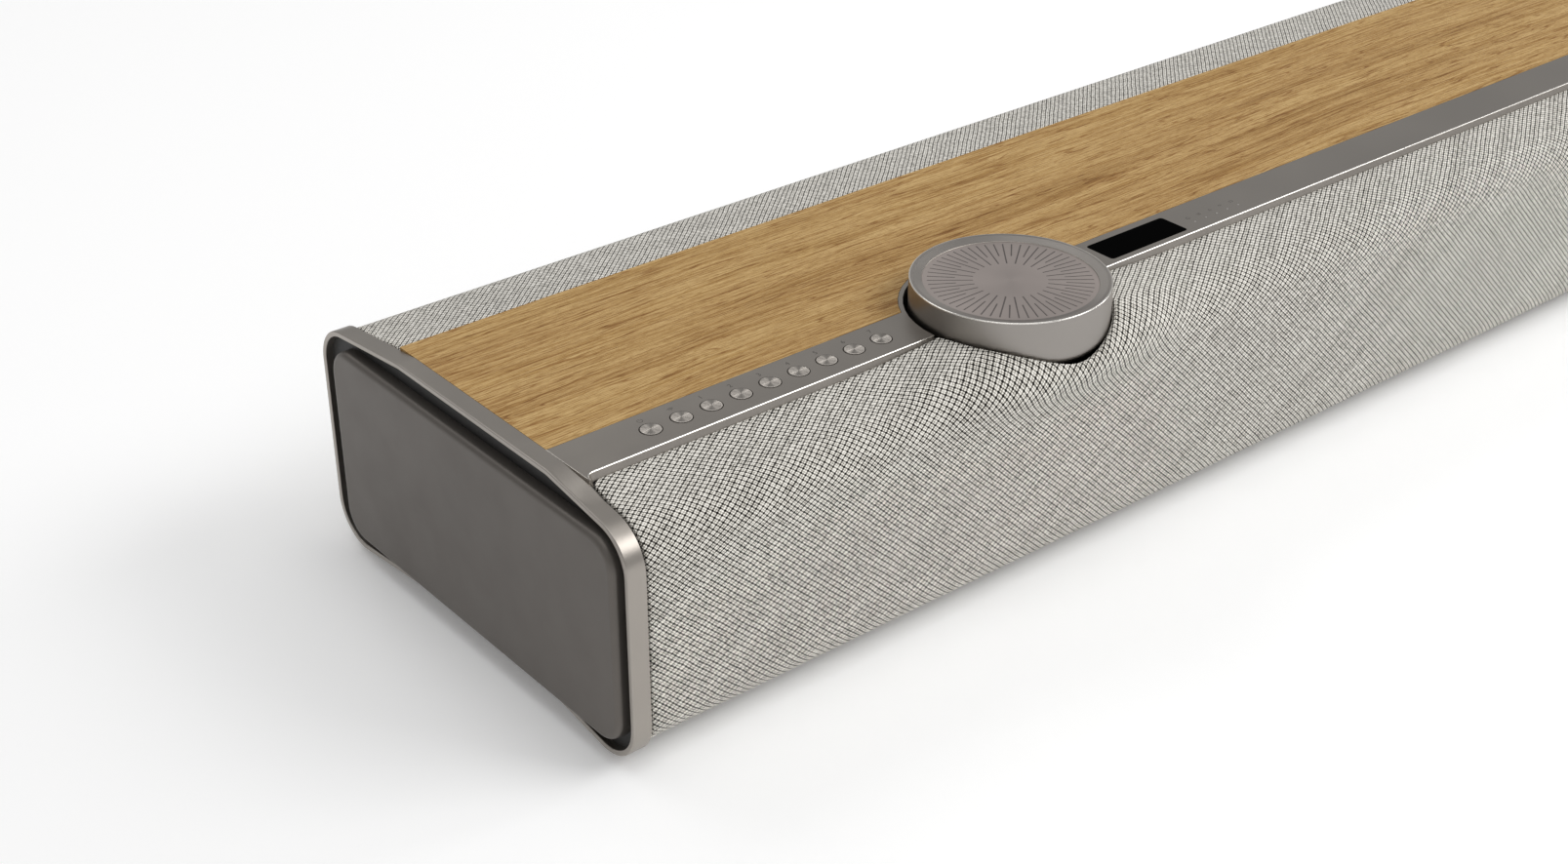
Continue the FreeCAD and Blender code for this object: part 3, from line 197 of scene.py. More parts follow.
def weave_fabric(name):
    """Basket weave of off-white yarn on the bias, from the cloth's own coordinates in millimetres, with
    painted shade in its grooves.
    """
    n = Nodes(name)
    uv = n.node("UVMap", uv_map="Cloth").outputs[0]

    def sway(scale, detail, reach):
        """Random offset of the cloth's coordinates, in millimetres."""
        cloud = n.node("TexNoise", {"Vector": uv, "Scale": scale, "Detail": detail}).outputs["Color"]
        centred = n.vector("SUBTRACT", cloud, (0.5, 0.5, 0.5))
        return n.node("VectorMath", {0: centred, 3: reach}, operation="SCALE").outputs[0]

    def across(thread):
        return n.math("ADD", n.math("MULTIPLY", u, thread[0]), n.math("MULTIPLY", v, thread[1]))

    def wave(place, turns):
        return n.math("ABSOLUTE", n.math("SINE", n.math("MULTIPLY", place, turns * math.pi)))

    def weighted(first, share, second, other_share):
        return n.math("ADD", n.math("MULTIPLY", first, share), n.math("MULTIPLY", second, other_share))

    moved = n.vector("ADD", n.vector("ADD", uv, sway(0.11, 2.0, 0.7)), sway(0.9, 1.0, 0.18))
    u, v = n.node("SeparateXYZ", {0: moved}).outputs[:2]
    s, t = across(THREAD_S), across(THREAD_T)

    # yarn: round beads, a groove between pairs of yarns, and a hole where two grooves cross
    bead = n.math("POWER", n.math("MULTIPLY", wave(s, 2), wave(t, 2)), BEAD_POWER)
    pair_s, pair_t = wave(s, 1), wave(t, 1)
    groove = weighted(n.remap(pair_s, 0.0, GROOVE_S, 0.0, 1.0, smooth=True), GROOVE_SHARES[0],
                      n.remap(pair_t, 0.0, GROOVE_T, 0.0, 1.0, smooth=True), GROOVE_SHARES[1])
    square = n.math("ADD", n.math("MULTIPLY", pair_s, pair_s), n.math("MULTIPLY", pair_t, pair_t))
    hole = n.remap(n.math("SQRT", square), HOLE[0], HOLE[1], 0.0, 1.0, smooth=True)
    height = n.math("MULTIPLY", weighted(bead, BEAD_SHARE, groove, 1 - BEAD_SHARE), hole)

    # tone: every yarn and every bead a little lighter or darker, with broad clouds
    twice_s, twice_t = n.math("MULTIPLY", s, 2.0), n.math("MULTIPLY", t, 2.0)
    cell = n.node("CombineXYZ", {0: n.math("FLOOR", twice_s), 1: n.math("FLOOR", twice_t)}).outputs[0]
    each = n.node("TexWhiteNoise", {"Vector": cell}, noise_dimensions="2D").outputs["Value"]
    warp = n.node("TexWhiteNoise", {"W": n.math("FLOOR", twice_s)}, noise_dimensions="1D").outputs["Value"]
    mottle = n.noise(uv, 0.55, 3.0, 0.7)
    shade = n.math("ADD", n.remap(warp, 0.0, 1.0, -0.05, 0.05), n.remap(each, 0.0, 1.0, -0.12, 0.10))
    shade = n.math("ADD", shade, n.remap(mottle, 0.3, 0.7, -0.10, 0.10))
    # colour follows the yarn's height: dark in the holes, where the black carrier shows through, and
    # darker down the grooves and the sides of each bead as painted shade
    colour = n.ramp(n.math("ADD", height, shade), [
        (0.00, linear(4, 4, 3)), (0.19, linear(24, 22, 19)), (0.38, linear(98, 94, 85)),
        (0.60, linear(206, 201, 190)), (0.84, linear(255, 252, 245))])
    fibre = n.noise(n.vector("MULTIPLY", uv, (7.0, 7.0, 7.0)), 1.0, 2.0)
    relief = n.math("ADD", height, n.math("MULTIPLY", fibre, 0.12))
    n.set(Base_Color=colour, Roughness=0.86, Sheen_Weight=0.15, Sheen_Roughness=0.5,
          Specular_IOR_Level=0.18, Normal=n.bump(relief, 0.00034, 0.9))
    return n.material


def rounded_path(corners):
    """Polygon of (y, z, corner radius) as runs and arcs.

    Returns a function from the length along it to point and tangent, and the whole length.
    """
    points = [np.array(c[:2], float) for c in corners]
    start, pieces, total = points[0], [], 0.0
    for k in range(1, len(points)):
        here = points[k]
        if k < len(points) - 1:
            before = (here - points[k - 1]) / np.linalg.norm(here - points[k - 1])
            after = (points[k + 1] - here) / np.linalg.norm(points[k + 1] - here)
            turn = math.atan2(before[0] * after[1] - before[1] * after[0], float(before @ after))
            cut = corners[k][2] * math.tan(abs(turn) / 2)
            end = here - before * cut
        else:
            end, turn, cut = here, 0.0, 0.0
        run = np.linalg.norm(end - start)
        pieces.append((total, run, start, (end - start) / run, 0.0))
        total += run
        if cut:
            bend = corners[k][2] * abs(turn)
            pieces.append((total, bend, end, before, turn))
            total += bend
            start = here + after * cut
    starts = np.array([piece[0] for piece in pieces])

    def at(length):
        length = np.asarray(length, float)
        index = np.clip(np.searchsorted(starts, length, side="right") - 1, 0, len(pieces) - 1)
        point = np.zeros(length.shape + (2,))
        tangent = np.zeros(length.shape + (2,))
        for k, (begin, size, origin, direction, turn) in enumerate(pieces):
            here = index == k
            if not here.any():
                continue
            along = length[here] - begin
            if turn:
                angle = turn * along / size
                radius = size / abs(turn)
                side = math.copysign(1.0, turn)
                normal = np.array([-direction[1], direction[0]]) * side
                sine, cosine = np.sin(np.abs(angle))[:, None], np.cos(np.abs(angle))[:, None]
                point[here] = origin + radius * (sine * direction + (1 - cosine) * normal)
                tangent[here] = cosine * direction + sine * normal
            else:
                point[here] = origin + along[:, None] * direction
                tangent[here] = direction
        return point, tangent

    return at, total


# the swelling in front of the dial: half sizes (along, front, behind, up), centre and rounding
SWELL_REACH, SWELL_DEPTH, SWELL_BACK, SWELL_TOP = 70.0, 27.45, 29.0, 14.1
SWELL_Y, SWELL_Z = -66.0, 81.7
SWELL_POWER, SWELL_EASE, LEAST_SLOPE = 2.6, 3.0, 0.02
NEAR_U, NEAR_V, MOST_RISE, BLEND, HALVINGS = 86.0, 60.0, 22.0, 7.0, 26


def swell_distance(point):
    """Rough distance to the rounded swelling that lifts the cloth round the front of the dial."""
    x = (point[..., 0] - DIAL_X) / SWELL_REACH
    y = point[..., 1] - SWELL_Y
    z = (point[..., 2] - SWELL_Z) / SWELL_TOP
    part = np.abs(y / SWELL_DEPTH)
    behind = (np.sqrt(y * y + SWELL_EASE ** 2) - SWELL_EASE) / SWELL_BACK
    share_y = np.where(y < 0, part ** SWELL_POWER, behind)
    slope_front = SWELL_POWER * part ** (SWELL_POWER - 1) / SWELL_DEPTH
    slope_y = np.where(y < 0, slope_front, 1.0 / SWELL_BACK)
    value = x * x + share_y + z * z - 1.0
    slope = np.sqrt((2 * x / SWELL_REACH) ** 2 + slope_y ** 2 + (2 * z / SWELL_TOP) ** 2)
    return value / np.maximum(slope, LEAST_SLOPE)


class Cloth:
    """A stretched sheet: u is the place along the bar and v the length round the cross-section."""

    def __init__(self, corners, outward, swell):
        self.path, self.length = rounded_path(corners)
        self.outward, self.swell = outward, swell

    def drop(self, level):
        """Length round the cross-section down to a level on the upright face."""
        lengths = np.arange(0.0, self.length, 0.05)
        return float(np.interp(-level, -self.path(lengths)[0][:, 1], lengths))

    def base(self, u, v):
        place, tangent = self.path(v)
        point = np.stack([u, place[..., 0], place[..., 1]], -1)
        normal = np.stack([np.zeros_like(u), tangent[..., 1], -tangent[..., 0]], -1) * self.outward
        return point, normal

    def surface(self, u, v):
        """Point of the stretched cloth, raised over the swelling with a soft run-out."""
        point, normal = self.base(u, v)
        if not self.swell:
            return point
        near = (np.abs(u - DIAL_X) < NEAR_U) & (v < NEAR_V)
        rise = np.zeros(u.shape)
        if near.any():
            origin, direction = point[near], normal[near]
            low, high = np.zeros(len(origin)), np.full(len(origin), MOST_RISE)
            for _ in range(HALVINGS):
                middle = (low + high) / 2
                other = swell_distance(origin + direction * middle[:, None])
                blend = np.maximum(BLEND - np.abs(middle - other), 0.0) / BLEND
                outside = np.minimum(middle, other) - blend * blend * BLEND / 4 > 0
                high = np.where(outside, middle, high)
                low = np.where(outside, low, middle)
            rise[near] = (low + high) / 2
        return point + normal * rise[..., None]

    def normal(self, u, v, step=0.05):
        across = self.surface(u + step, v) - self.surface(u - step, v)
        along = self.surface(u, v + step) - self.surface(u, v - step)
        out = np.cross(across, along)
        out /= np.linalg.norm(out, axis=-1, keepdims=True)
        _, plain = self.base(u, v)
        return out * np.sign((out * plain).sum(-1, keepdims=True))


def eased(value, low, high):
    """Smooth step from 0 at low to 1 at high."""
    part = np.clip((value - low) / (high - low), 0, 1)
    return part * part * (3 - 2 * part)


def weave_height(u, v):
    """Height of the yarn over the holes, from 0 to 1, as in the fabric material."""
    s, t = u * THREAD_S[0] + v * THREAD_S[1], u * THREAD_T[0] + v * THREAD_T[1]
    bead = np.abs(np.sin(2 * np.pi * s) * np.sin(2 * np.pi * t)) ** BEAD_POWER
    pair_s, pair_t = np.abs(np.sin(np.pi * s)), np.abs(np.sin(np.pi * t))
    groove = GROOVE_SHARES[0] * eased(pair_s, 0, GROOVE_S) + GROOVE_SHARES[1] * eased(pair_t, 0, GROOVE_T)
    hole = eased(np.hypot(pair_s, pair_t), *HOLE)
    return (bead * BEAD_SHARE + groove * (1 - BEAD_SHARE)) * hole


# yarn thickness and its middle height, how far the relief reaches in from a border, and the rolled hem
YARN, YARN_MIDDLE, FADE = 0.42, 0.62, 3.2
ROLL, HEM = 0.7, 2.4
HEM_STEPS = [(ROLL * angle, angle) for angle in np.linspace(0, math.pi / 2, 5)]
HEM_STEPS += [(ROLL * math.pi / 2 + d, math.pi / 2) for d in np.linspace(0.35, HEM, 5)]
# grid steps: across the border, along it, down the face, along the bar, and along it under the dial
EDGE_STEP, BORDER_STEP, FACE_STEP, BAR_STEP, FOOT_STEP = 0.42, 0.45, 1.1, 6.0, 4.0
BORDER = 3.4
# the window over the connectors
PORT_X, PORT_Z = (-102.0 - ROLL, 102.0 + ROLL), (18.0 - ROLL, 60.0 + ROLL)


def clear_of_dial(point):
    """Keeps a hem outside the dial, whose wall it meets at the front."""
    offset = point[:, :2] - (DIAL_X, DIAL_Y)
    away = np.linalg.norm(offset, axis=1)
    room = (DIAL_HIGH[0] - DIAL_LOW[0]) / 2 + 0.45
    beside = point[:, 2] > DIAL_LOW[2] - 8
    push = np.where((away < room) & beside, room / np.maximum(away, 1.0), 1.0)
    out = point.copy()
    out[:, :2] = (DIAL_X, DIAL_Y) + offset * push[:, None]
    return out


def cloth_piece(name, cloth, patches, rims, material):
    """Builds a sheet from patches of (u, v, distance to the edge) and from rims that roll over a carrier.

    A rim is the border's u and v with the direction in (u, v) that leads into the sheet.
    """
    vertices, faces, coordinates, normals, count = [], [], [], [], 0

    def add(point, normal, u, v, rows, columns, flip):
        nonlocal count
        vertices.append(point.reshape(-1, 3))
        normals.append(normal.reshape(-1, 3))
        coordinates.append(np.stack([u.ravel(), v.ravel()], -1))
        index = np.arange(rows * columns).reshape(rows, columns) + count
        quads = np.stack([index[:-1, :-1], index[1:, :-1], index[1:, 1:], index[:-1, 1:]], -1)
        quads = quads.reshape(-1, 4)
        faces.append(quads[:, ::-1] if flip else quads)
        count += rows * columns

    def facing(point, normal):
        """Whether the grid's own winding looks along the normal, from its first sound cell."""
        for i in range(point.shape[0] - 1):
            for j in range(0, point.shape[1] - 1, 7):
                area = np.cross(point[i + 1, j] - point[i, j], point[i, j + 1] - point[i, j])
                if np.linalg.norm(area) > 1e-4:
                    return float(area @ normal[i, j]) > 0
        return True

    def lifted(u, v, edge):
        """Cloth with the yarn's relief, which fades out away from the border."""
        point, normal = cloth.surface(u, v), cloth.normal(u, v)
        relief = (weave_height(u, v) - YARN_MIDDLE) * YARN * np.clip(1 - edge / FADE, 0, 1)
        return point + normal * relief[..., None], normal

    for u, v, edge in patches:
        point, normal = lifted(u, v, edge)
        step = 0.09
        du = lifted(u + step, v, edge)[0] - lifted(u - step, v, edge)[0]
        dv = lifted(u, v + step, edge)[0] - lifted(u, v - step, edge)[0]
        bent = np.cross(du, dv)
        bent /= np.linalg.norm(bent, axis=-1, keepdims=True)
        bent *= np.sign((bent * normal).sum(-1, keepdims=True))
        add(point, bent, u, v, *u.shape, not facing(point, normal))

    for u, v, within in rims:
        point, normal = cloth.surface(u, v), cloth.normal(u, v)
        along = np.gradient(point, axis=0)
        along /= np.linalg.norm(along, axis=-1, keepdims=True)
        outwards = np.cross(along, normal)
        outwards /= np.linalg.norm(outwards, axis=-1, keepdims=True)
        step = cloth.surface(u[:1] + within[0] * 0.3, v[:1] + within[1] * 0.3) - point[:1]
        outwards *= -np.sign((step * outwards[:1]).sum())
        path_u, path_v = np.gradient(u), np.gradient(v)
        size = np.hypot(path_u, path_v)
        side_u, side_v = path_v / size, -path_u / size
        sideways = cloth.surface(u + side_u * 0.05, v + side_v * 0.05) - point
        swap = np.sign((sideways * outwards).sum(-1))
        rows, tilts, us, vs = [], [], [], []
        for reach, angle in HEM_STEPS:
            down = ROLL * (1 - math.cos(angle)) + max(0.0, reach - ROLL * math.pi / 2)
            tilt = normal * math.cos(angle) + outwards * math.sin(angle)
            here_u, here_v = u + side_u * reach * swap, v + side_v * reach * swap
            relief = (weave_height(here_u, here_v) - YARN_MIDDLE) * YARN
            here = point + outwards * ROLL * math.sin(angle) - normal * down + tilt * relief[:, None]
            rows.append(clear_of_dial(here))
            tilts.append(tilt)
            us.append(here_u)
            vs.append(here_v)
        grid, tilt = np.array(rows), np.array(tilts)
        add(grid, tilt, np.array(us), np.array(vs), *grid.shape[:2], not facing(grid, tilt))

    vertices, normals = np.concatenate(vertices), np.concatenate(normals)
    coordinates, faces = np.concatenate(coordinates), np.concatenate(faces)
    mesh = bpy.data.meshes.new(name)
    mesh.from_pydata((vertices * MM).tolist(), [], faces.tolist())
    layer = mesh.uv_layers.new(name="Cloth")
    layer.data.foreach_set("uv", coordinates[faces.ravel()].astype(np.float32).ravel())
    mesh.polygons.foreach_set("use_smooth", np.ones(len(faces), bool))
    mesh.normals_split_custom_set_from_vertices(normals.tolist())
    mesh.materials.append(material)
    piece = bpy.data.objects.new(name, mesh)
    bpy.context.scene.collection.objects.link(piece)
    return piece


def patch(us, vs, edge):
    """Rectangular patch; edge gives each point's distance to the sheet's border."""
    u, v = np.meshgrid(us, vs, indexing="ij")
    return u, v, edge(u, v)


def spaced(start, end, step):
    return np.linspace(start, end, max(2, int(round(abs(end - start) / step)) + 1))


def corner_fan(u0, v0, sign, radius):
    """Quarter disc that rounds an upper corner, centred inside it."""
    angle = np.linspace(0, math.pi / 2, 15)
    reach = np.concatenate([[0.02], np.linspace(0.15, 1.0, 9)]) * radius
    a, r = np.meshgrid(angle, reach, indexing="ij")
    return u0 + sign * r * np.cos(a), v0 - r * np.sin(a), radius - r


def dial_opening(cloth, angle, gap):
    """Distance along the cloth from the dial's axis to the edge of its hole, for each direction."""
    reach = np.linspace(10.0, 60.0, 1001)
    a, r = np.meshgrid(angle, reach, indexing="ij")
    point = cloth.surface(DIAL_X + r * np.cos(a), r * np.sin(a))
    away = np.hypot(point[..., 0] - DIAL_X, point[..., 1] - DIAL_Y)
    first = np.argmax(away > gap, axis=1)
    row = np.arange(len(angle))
    inside, outside = away[row, first - 1], away[row, first]
    return reach[first - 1] + (gap - inside) / (outside - inside) * (reach[1] - reach[0])


def sheet_patches(cloth, left, right, gap):
    """Patches and rims of a sheet between two ends; gap is the dial's hole or None."""
    end = cloth.length
    patches, rims = [], []

    def far(u, v):
        return np.full(u.shape, FADE)

    def below_top(u, v):
        return v

    def top_rim(border):
        rims.append((border, np.zeros(border.shape), (0, 1)))

    for x, sign in ((left, 1.0), (right, -1.0)):
        centre = x + sign * BORDER
        patches.append(patch(spaced(x, centre, EDGE_STEP), spaced(BORDER, end, EDGE_STEP),
                             lambda u, v, x=x: np.abs(u - x)))
        patches.append(corner_fan(centre, BORDER, -sign, BORDER))
        angle = np.linspace(0, math.pi / 2, 15)
        arc_u, arc_v = centre - sign * BORDER * np.cos(angle), BORDER - BORDER * np.sin(angle)
        down = spaced(end, BORDER, EDGE_STEP)[:-1]
        rim_u = np.concatenate([np.full(down.shape, x), arc_u])
        rims.append((rim_u, np.concatenate([down, arc_v]), (sign, 0)))
    inner_left, inner_right = left + BORDER, right - BORDER
    rows_top, rows_main = spaced(0, BORDER, EDGE_STEP), spaced(BORDER, end, FACE_STEP)

    if gap is None:
        patches.append(patch(spaced(inner_left, inner_right, BORDER_STEP), rows_top, below_top))
        (west, east), (upper, lower) = PORT_X, [cloth.drop(z) for z in PORT_Z[::-1]]
        patches.append(patch(spaced(inner_left, west, BAR_STEP), rows_main, far))
        patches.append(patch(spaced(east, inner_right, BAR_STEP), rows_main, far))
        for start, stop in ((BORDER, upper), (lower, end)):
            patches.append(patch(spaced(west, east, BAR_STEP), spaced(start, stop, FACE_STEP), far))
        across, down = spaced(west, east, BORDER_STEP), spaced(upper, lower, BORDER_STEP)
        rims.append((across, np.full(across.shape, upper), (0, -1)))
        rims.append((across, np.full(across.shape, lower), (0, 1)))
        rims.append((np.full(down.shape, west), down, (-1, 0)))
        rims.append((np.full(down.shape, east), down, (1, 0)))
        top_rim(spaced(inner_left, inner_right, BORDER_STEP))
        return patches, rims

    reach, deep = 80.0, 62.0        # half width and depth of the grid that runs round the dial
    for start, stop in ((inner_left, DIAL_X - reach), (DIAL_X + reach, inner_right)):
        patches.append(patch(spaced(start, stop, BORDER_STEP), rows_top, below_top))
        patches.append(patch(spaced(start, stop, BAR_STEP), spaced(BORDER, deep, FACE_STEP), far))
        top_rim(spaced(start, stop, BORDER_STEP))
    patches.append(patch(spaced(inner_left, inner_right, FOOT_STEP), spaced(deep, end, FACE_STEP), far))
    angle = np.linspace(0, math.pi, 521)
    hole = dial_opening(cloth, angle, gap)
    with np.errstate(divide="ignore"):
        limit = np.minimum(reach / np.abs(np.cos(angle)), deep / np.maximum(np.sin(angle), 1e-9))
    rows = [hole + step for step in np.arange(0, BORDER + 0.01, EDGE_STEP)]
    last = rows[-1]
    rows += [last + (limit - last) * part for part in np.linspace(0, 1, 34)[1:] ** 1.15]
    radius = np.array(rows)
    u, v = DIAL_X + radius * np.cos(angle), radius * np.sin(angle)
    patches.append((u, v, np.minimum(radius - hole, v)))
    rims.append((DIAL_X + hole * np.cos(angle), hole * np.sin(angle), (1, 0)))
    top_rim(DIAL_X + spaced(hole[0], reach, BORDER_STEP))
    top_rim(DIAL_X - spaced(hole[-1], reach, BORDER_STEP))
    return patches, rims


# ---------------------------------------------------------------- cross-section of the grilles
def line_at(start, end, y):
    """Level at y on the line through two (y, z) points."""
    return start[1] + (end[1] - start[1]) * (y - start[0]) / (end[0] - start[0])


FACE_INSET = 2.0
FACE_FRONT, FACE_REAR = FRAME_LOW[1] + FACE_INSET, FRAME_HIGH[1] - FACE_INSET
FRONT_TOP, FRONT_FOOT = 85.604, 1.858
REAR_TOP, REAR_FOOT = 86.308, 2.732
FRONT_SLOPE = ((-45.0, 94.5), (FACE_FRONT, FRONT_TOP))
REAR_SLOPE = ((38.0, 93.4), (FACE_REAR, REAR_TOP))
STRIP_FRONT = WOOD_LOW[1] - 19.95
FRONT_START = STRIP_FRONT - 1.62
REAR_START = WOOD_HIGH[1] + 0.3 + ROLL
HOLE_RADIUS = 36.5
HALF_LENGTH = corners_of("rear_grille")[1][0]

front_corners = [
    (FRONT_START, line_at(*FRONT_SLOPE, FRONT_START), 0.0), (FACE_FRONT, FRONT_TOP, 14.0),
    (FACE_FRONT, FRONT_FOOT, 13.0), (-70.0, 4.79, 0.0),
]
rear_corners = [
    (REAR_START, line_at(*REAR_SLOPE, REAR_START), 0.0), (FACE_REAR, REAR_TOP, 13.0),
    (FACE_REAR, REAR_FOOT, 13.0), (72.2, 5.12, 0.0),
]
fabric = weave_fabric("woven_yarn")
front_cloth = Cloth(front_corners, 1.0, True)
rear_cloth = Cloth(rear_corners, -1.0, False)
inner = HALF_LENGTH - ROLL
patches, rims = sheet_patches(front_cloth, -inner, inner, HOLE_RADIUS + ROLL)
front = cloth_piece("front_fabric", front_cloth, patches, rims, fabric)
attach(front, "housing")
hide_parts("front_grille")
patches, rims = sheet_patches(rear_cloth, -inner, inner, None)
rear = cloth_piece("rear_fabric", rear_cloth, patches, rims, fabric)
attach(rear, "housing")
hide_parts("rear_grille")


# ---------------------------------------------------------------- small pieces on the top
def mesh_piece(name, vertices, faces, material, smooth=False):
    """Mesh object from points in millimetres."""
    mesh = bpy.data.meshes.new(name)
    mesh.from_pydata([tuple(c * MM for c in v) for v in vertices], [], faces)
    mesh.polygons.foreach_set("use_smooth", [smooth] * len(mesh.polygons))
    mesh.materials.append(material)
    piece = bpy.data.objects.new(name, mesh)
    bpy.context.scene.collection.objects.link(piece)
    return piece


# sections of the bands round the control strip, as (inwards, level)
APRON = ((0.10, 93.50), (-0.02, 93.30), (-0.40, 92.40), (-0.85, 91.20),
         (-0.60, 90.50), (0.30, 90.50), (0.50, 93.20))
END_LINE = ((0.30, 94.012), (0.14, 94.02), (0.02, 93.97), (-0.03, 93.80), (0.10, 93.60), (0.30, 93.8))
BEVEL = ((0.42, 94.02), (0.30, 94.03), (0.14, 93.98), (0.03, 93.86),
         (-0.01, 93.68), (0.10, 93.60), (0.45, 93.8))


def edge_band(name, path, section, material):
    """Closed band: a section of (inwards, level) swept along (x, y) points."""
    vertices = []
    for k, (x, y) in enumerate(path):
        before, after = path[max(k - 1, 0)], path[min(k + 1, len(path) - 1)]
        dx, dy = after[0] - before[0], after[1] - before[1]
        size = math.hypot(dx, dy)
        vertices += [(x - dy / size * inward, y + dx / size * inward, z) for inward, z in section]
    count = len(section)
    faces = []
    for k in range(len(path) - 1):
        for j in range(count):
            a, b = k * count + j, k * count + (j + 1) % count
            faces.append((a, b, b + count, a + count))
    faces += [tuple(range(count))[::-1], tuple(range(len(vertices) - count, len(vertices)))]
    return mesh_piece(name, vertices, faces, material)


# ---------------------------------------------------------------- finishes of the CAD pieces
def oak(name):
    """Brushed oak veneer with the grain along the bar."""
    n = Nodes(name)
    place = n.position()
    bend = n.noise(n.scaled(place, (3.5, 16.0, 16.0)), 1.0, 2.0)
    sideways = n.math("MULTIPLY", n.math("SUBTRACT", bend, 0.5), 0.016)
    place = n.vector("ADD", place, n.node("CombineXYZ", {1: sideways}).outputs[0])
    broad = n.noise(n.scaled(place, (4.0, 90.0, 90.0)), 1.0, 4.0, 0.55)
    rings = n.noise(n.scaled(place, (16.0, 900.0, 900.0)), 1.0, 3.0, 0.6)
    height = n.noise(n.scaled(place, (7.0, 120.0, 120.0)), 1.0, 3.0, 0.45)
    bands = n.math("FRACT", n.math("MULTIPLY", height, 9.0))
    contour = n.math("ABSOLUTE", n.math("SUBTRACT", bands, 0.5))
    streaks = n.noise(n.scaled(place, (55.0, 2500.0, 2500.0)), 1.0, 3.0, 0.6)
    pores = n.noise(n.scaled(place, (300.0, 4200.0, 4200.0)), 1.0, 2.0, 0.5)
    colour = n.ramp(broad, [
        (0.28, linear(170, 135, 82)), (0.45, linear(190, 156, 103)), (0.58, linear(202, 170, 116)),
        (0.75, linear(182, 147, 92))])

    def darken(base, value, low, high, least):
        """Multiplies a colour by least where the value is low."""
        amount = n.remap(value, low, high, 0.0, 1.0, smooth=True)
        tint = n.mix(amount, rgba(least), (1.0, 1.0, 1.0, 1.0))
        return n.mix(1.0, base, tint, "MULTIPLY")

    colour = darken(colour, contour, 0.0, 0.10, (0.62, 0.50, 0.36))
    colour = darken(colour, rings, 0.34, 0.56, (0.76, 0.68, 0.55))
    colour = darken(colour, streaks, 0.36, 0.54, (0.66, 0.56, 0.42))
    colour = darken(colour, pores, 0.34, 0.50, (0.68, 0.60, 0.48))
    fine = n.math("ADD", n.math("MULTIPLY", streaks, 0.8), pores)
    relief = n.math("ADD", n.math("MULTIPLY", rings, 0.5), fine)
    n.set(Base_Color=colour, Roughness=n.remap(rings, 0.3, 0.7, 0.66, 0.52), Specular_IOR_Level=0.25,
          Normal=n.bump(relief, 0.00016, 0.6))
    return n.material


def spun_metal(name, colour, roughness, anisotropy):
    """Metal turned on a lathe, with circular tool marks."""
    n = Nodes(name)
    place = n.position()
    cloud = n.noise(place, 30.0, 3.0)
    tone = n.remap(cloud, 0.3, 0.7, 0.95, 1.05)
    n.set(Base_Color=n.tinted(colour, tone), Metallic=1.0, Anisotropic=anisotropy,
          Roughness=n.remap(cloud, 0.3, 0.7, roughness - 0.02, roughness + 0.03),
          Tangent=n.node("Tangent", direction_type="RADIAL", axis="Z").outputs[0])
    return n.material


def dress(material, *names):
    """Gives CAD pieces their finish."""
    for name in names:
        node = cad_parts[name]
        node.data.materials.clear()
        node.data.materials.append(material)


metal = satin_metal("satin_titanium", linear(164, 158, 151), 0.36)
dress(metal, "left_end_frame", "right_end_frame", "control_strip")
# smooth metal for thin edges: the low roughness is real, its much lighter colour is a painted highlight
smooth_edge_highlight = satin_metal("smooth_edge_painted_highlight", linear(236, 232, 226), 0.2)
# lighter metal for the line along each end of the strip: a painted highlight on the crease where the strip
# meets the end frame
seam_painted_highlight = satin_metal("seam_painted_highlight", linear(206, 200, 192), 0.3)

# the strip's front edge: a rounded corner beside each end frame, straight up to the ring round the dial
SIDE, CORNER_RADIUS, WELL_RADIUS = FRAME_HIGH[0] + 0.9, 3.2, 37.15
corner = [(SIDE + CORNER_RADIUS * (1 - math.cos(a)), STRIP_FRONT - CORNER_RADIUS * (1 - math.sin(a)))
          for a in np.linspace(0, math.pi / 2, 13)]
chord = math.sqrt(WELL_RADIUS ** 2 - (STRIP_FRONT - DIAL_Y) ** 2) + 0.1
left_edge = corner + [(DIAL_X - chord, STRIP_FRONT)]
right_edge = [(DIAL_X + chord, STRIP_FRONT)] + [(-x, y) for x, y in corner[::-1]]
# the bevel bands along the strip's front edge carry the painted highlight
for label, path in (("left", left_edge), ("right", right_edge)):
    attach(edge_band(f"strip_apron_{label}", path, APRON, metal), "housing")
    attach(edge_band(f"strip_bevel_{label}", path, BEVEL, smooth_edge_highlight), "housing")

SHOULDER_START, SHOULDER_END = -44.0, -70.5
SHOULDER_FULL, SHOULDER_NONE, SHOULDER_SHARE = -58.5, -70.0, 0.45


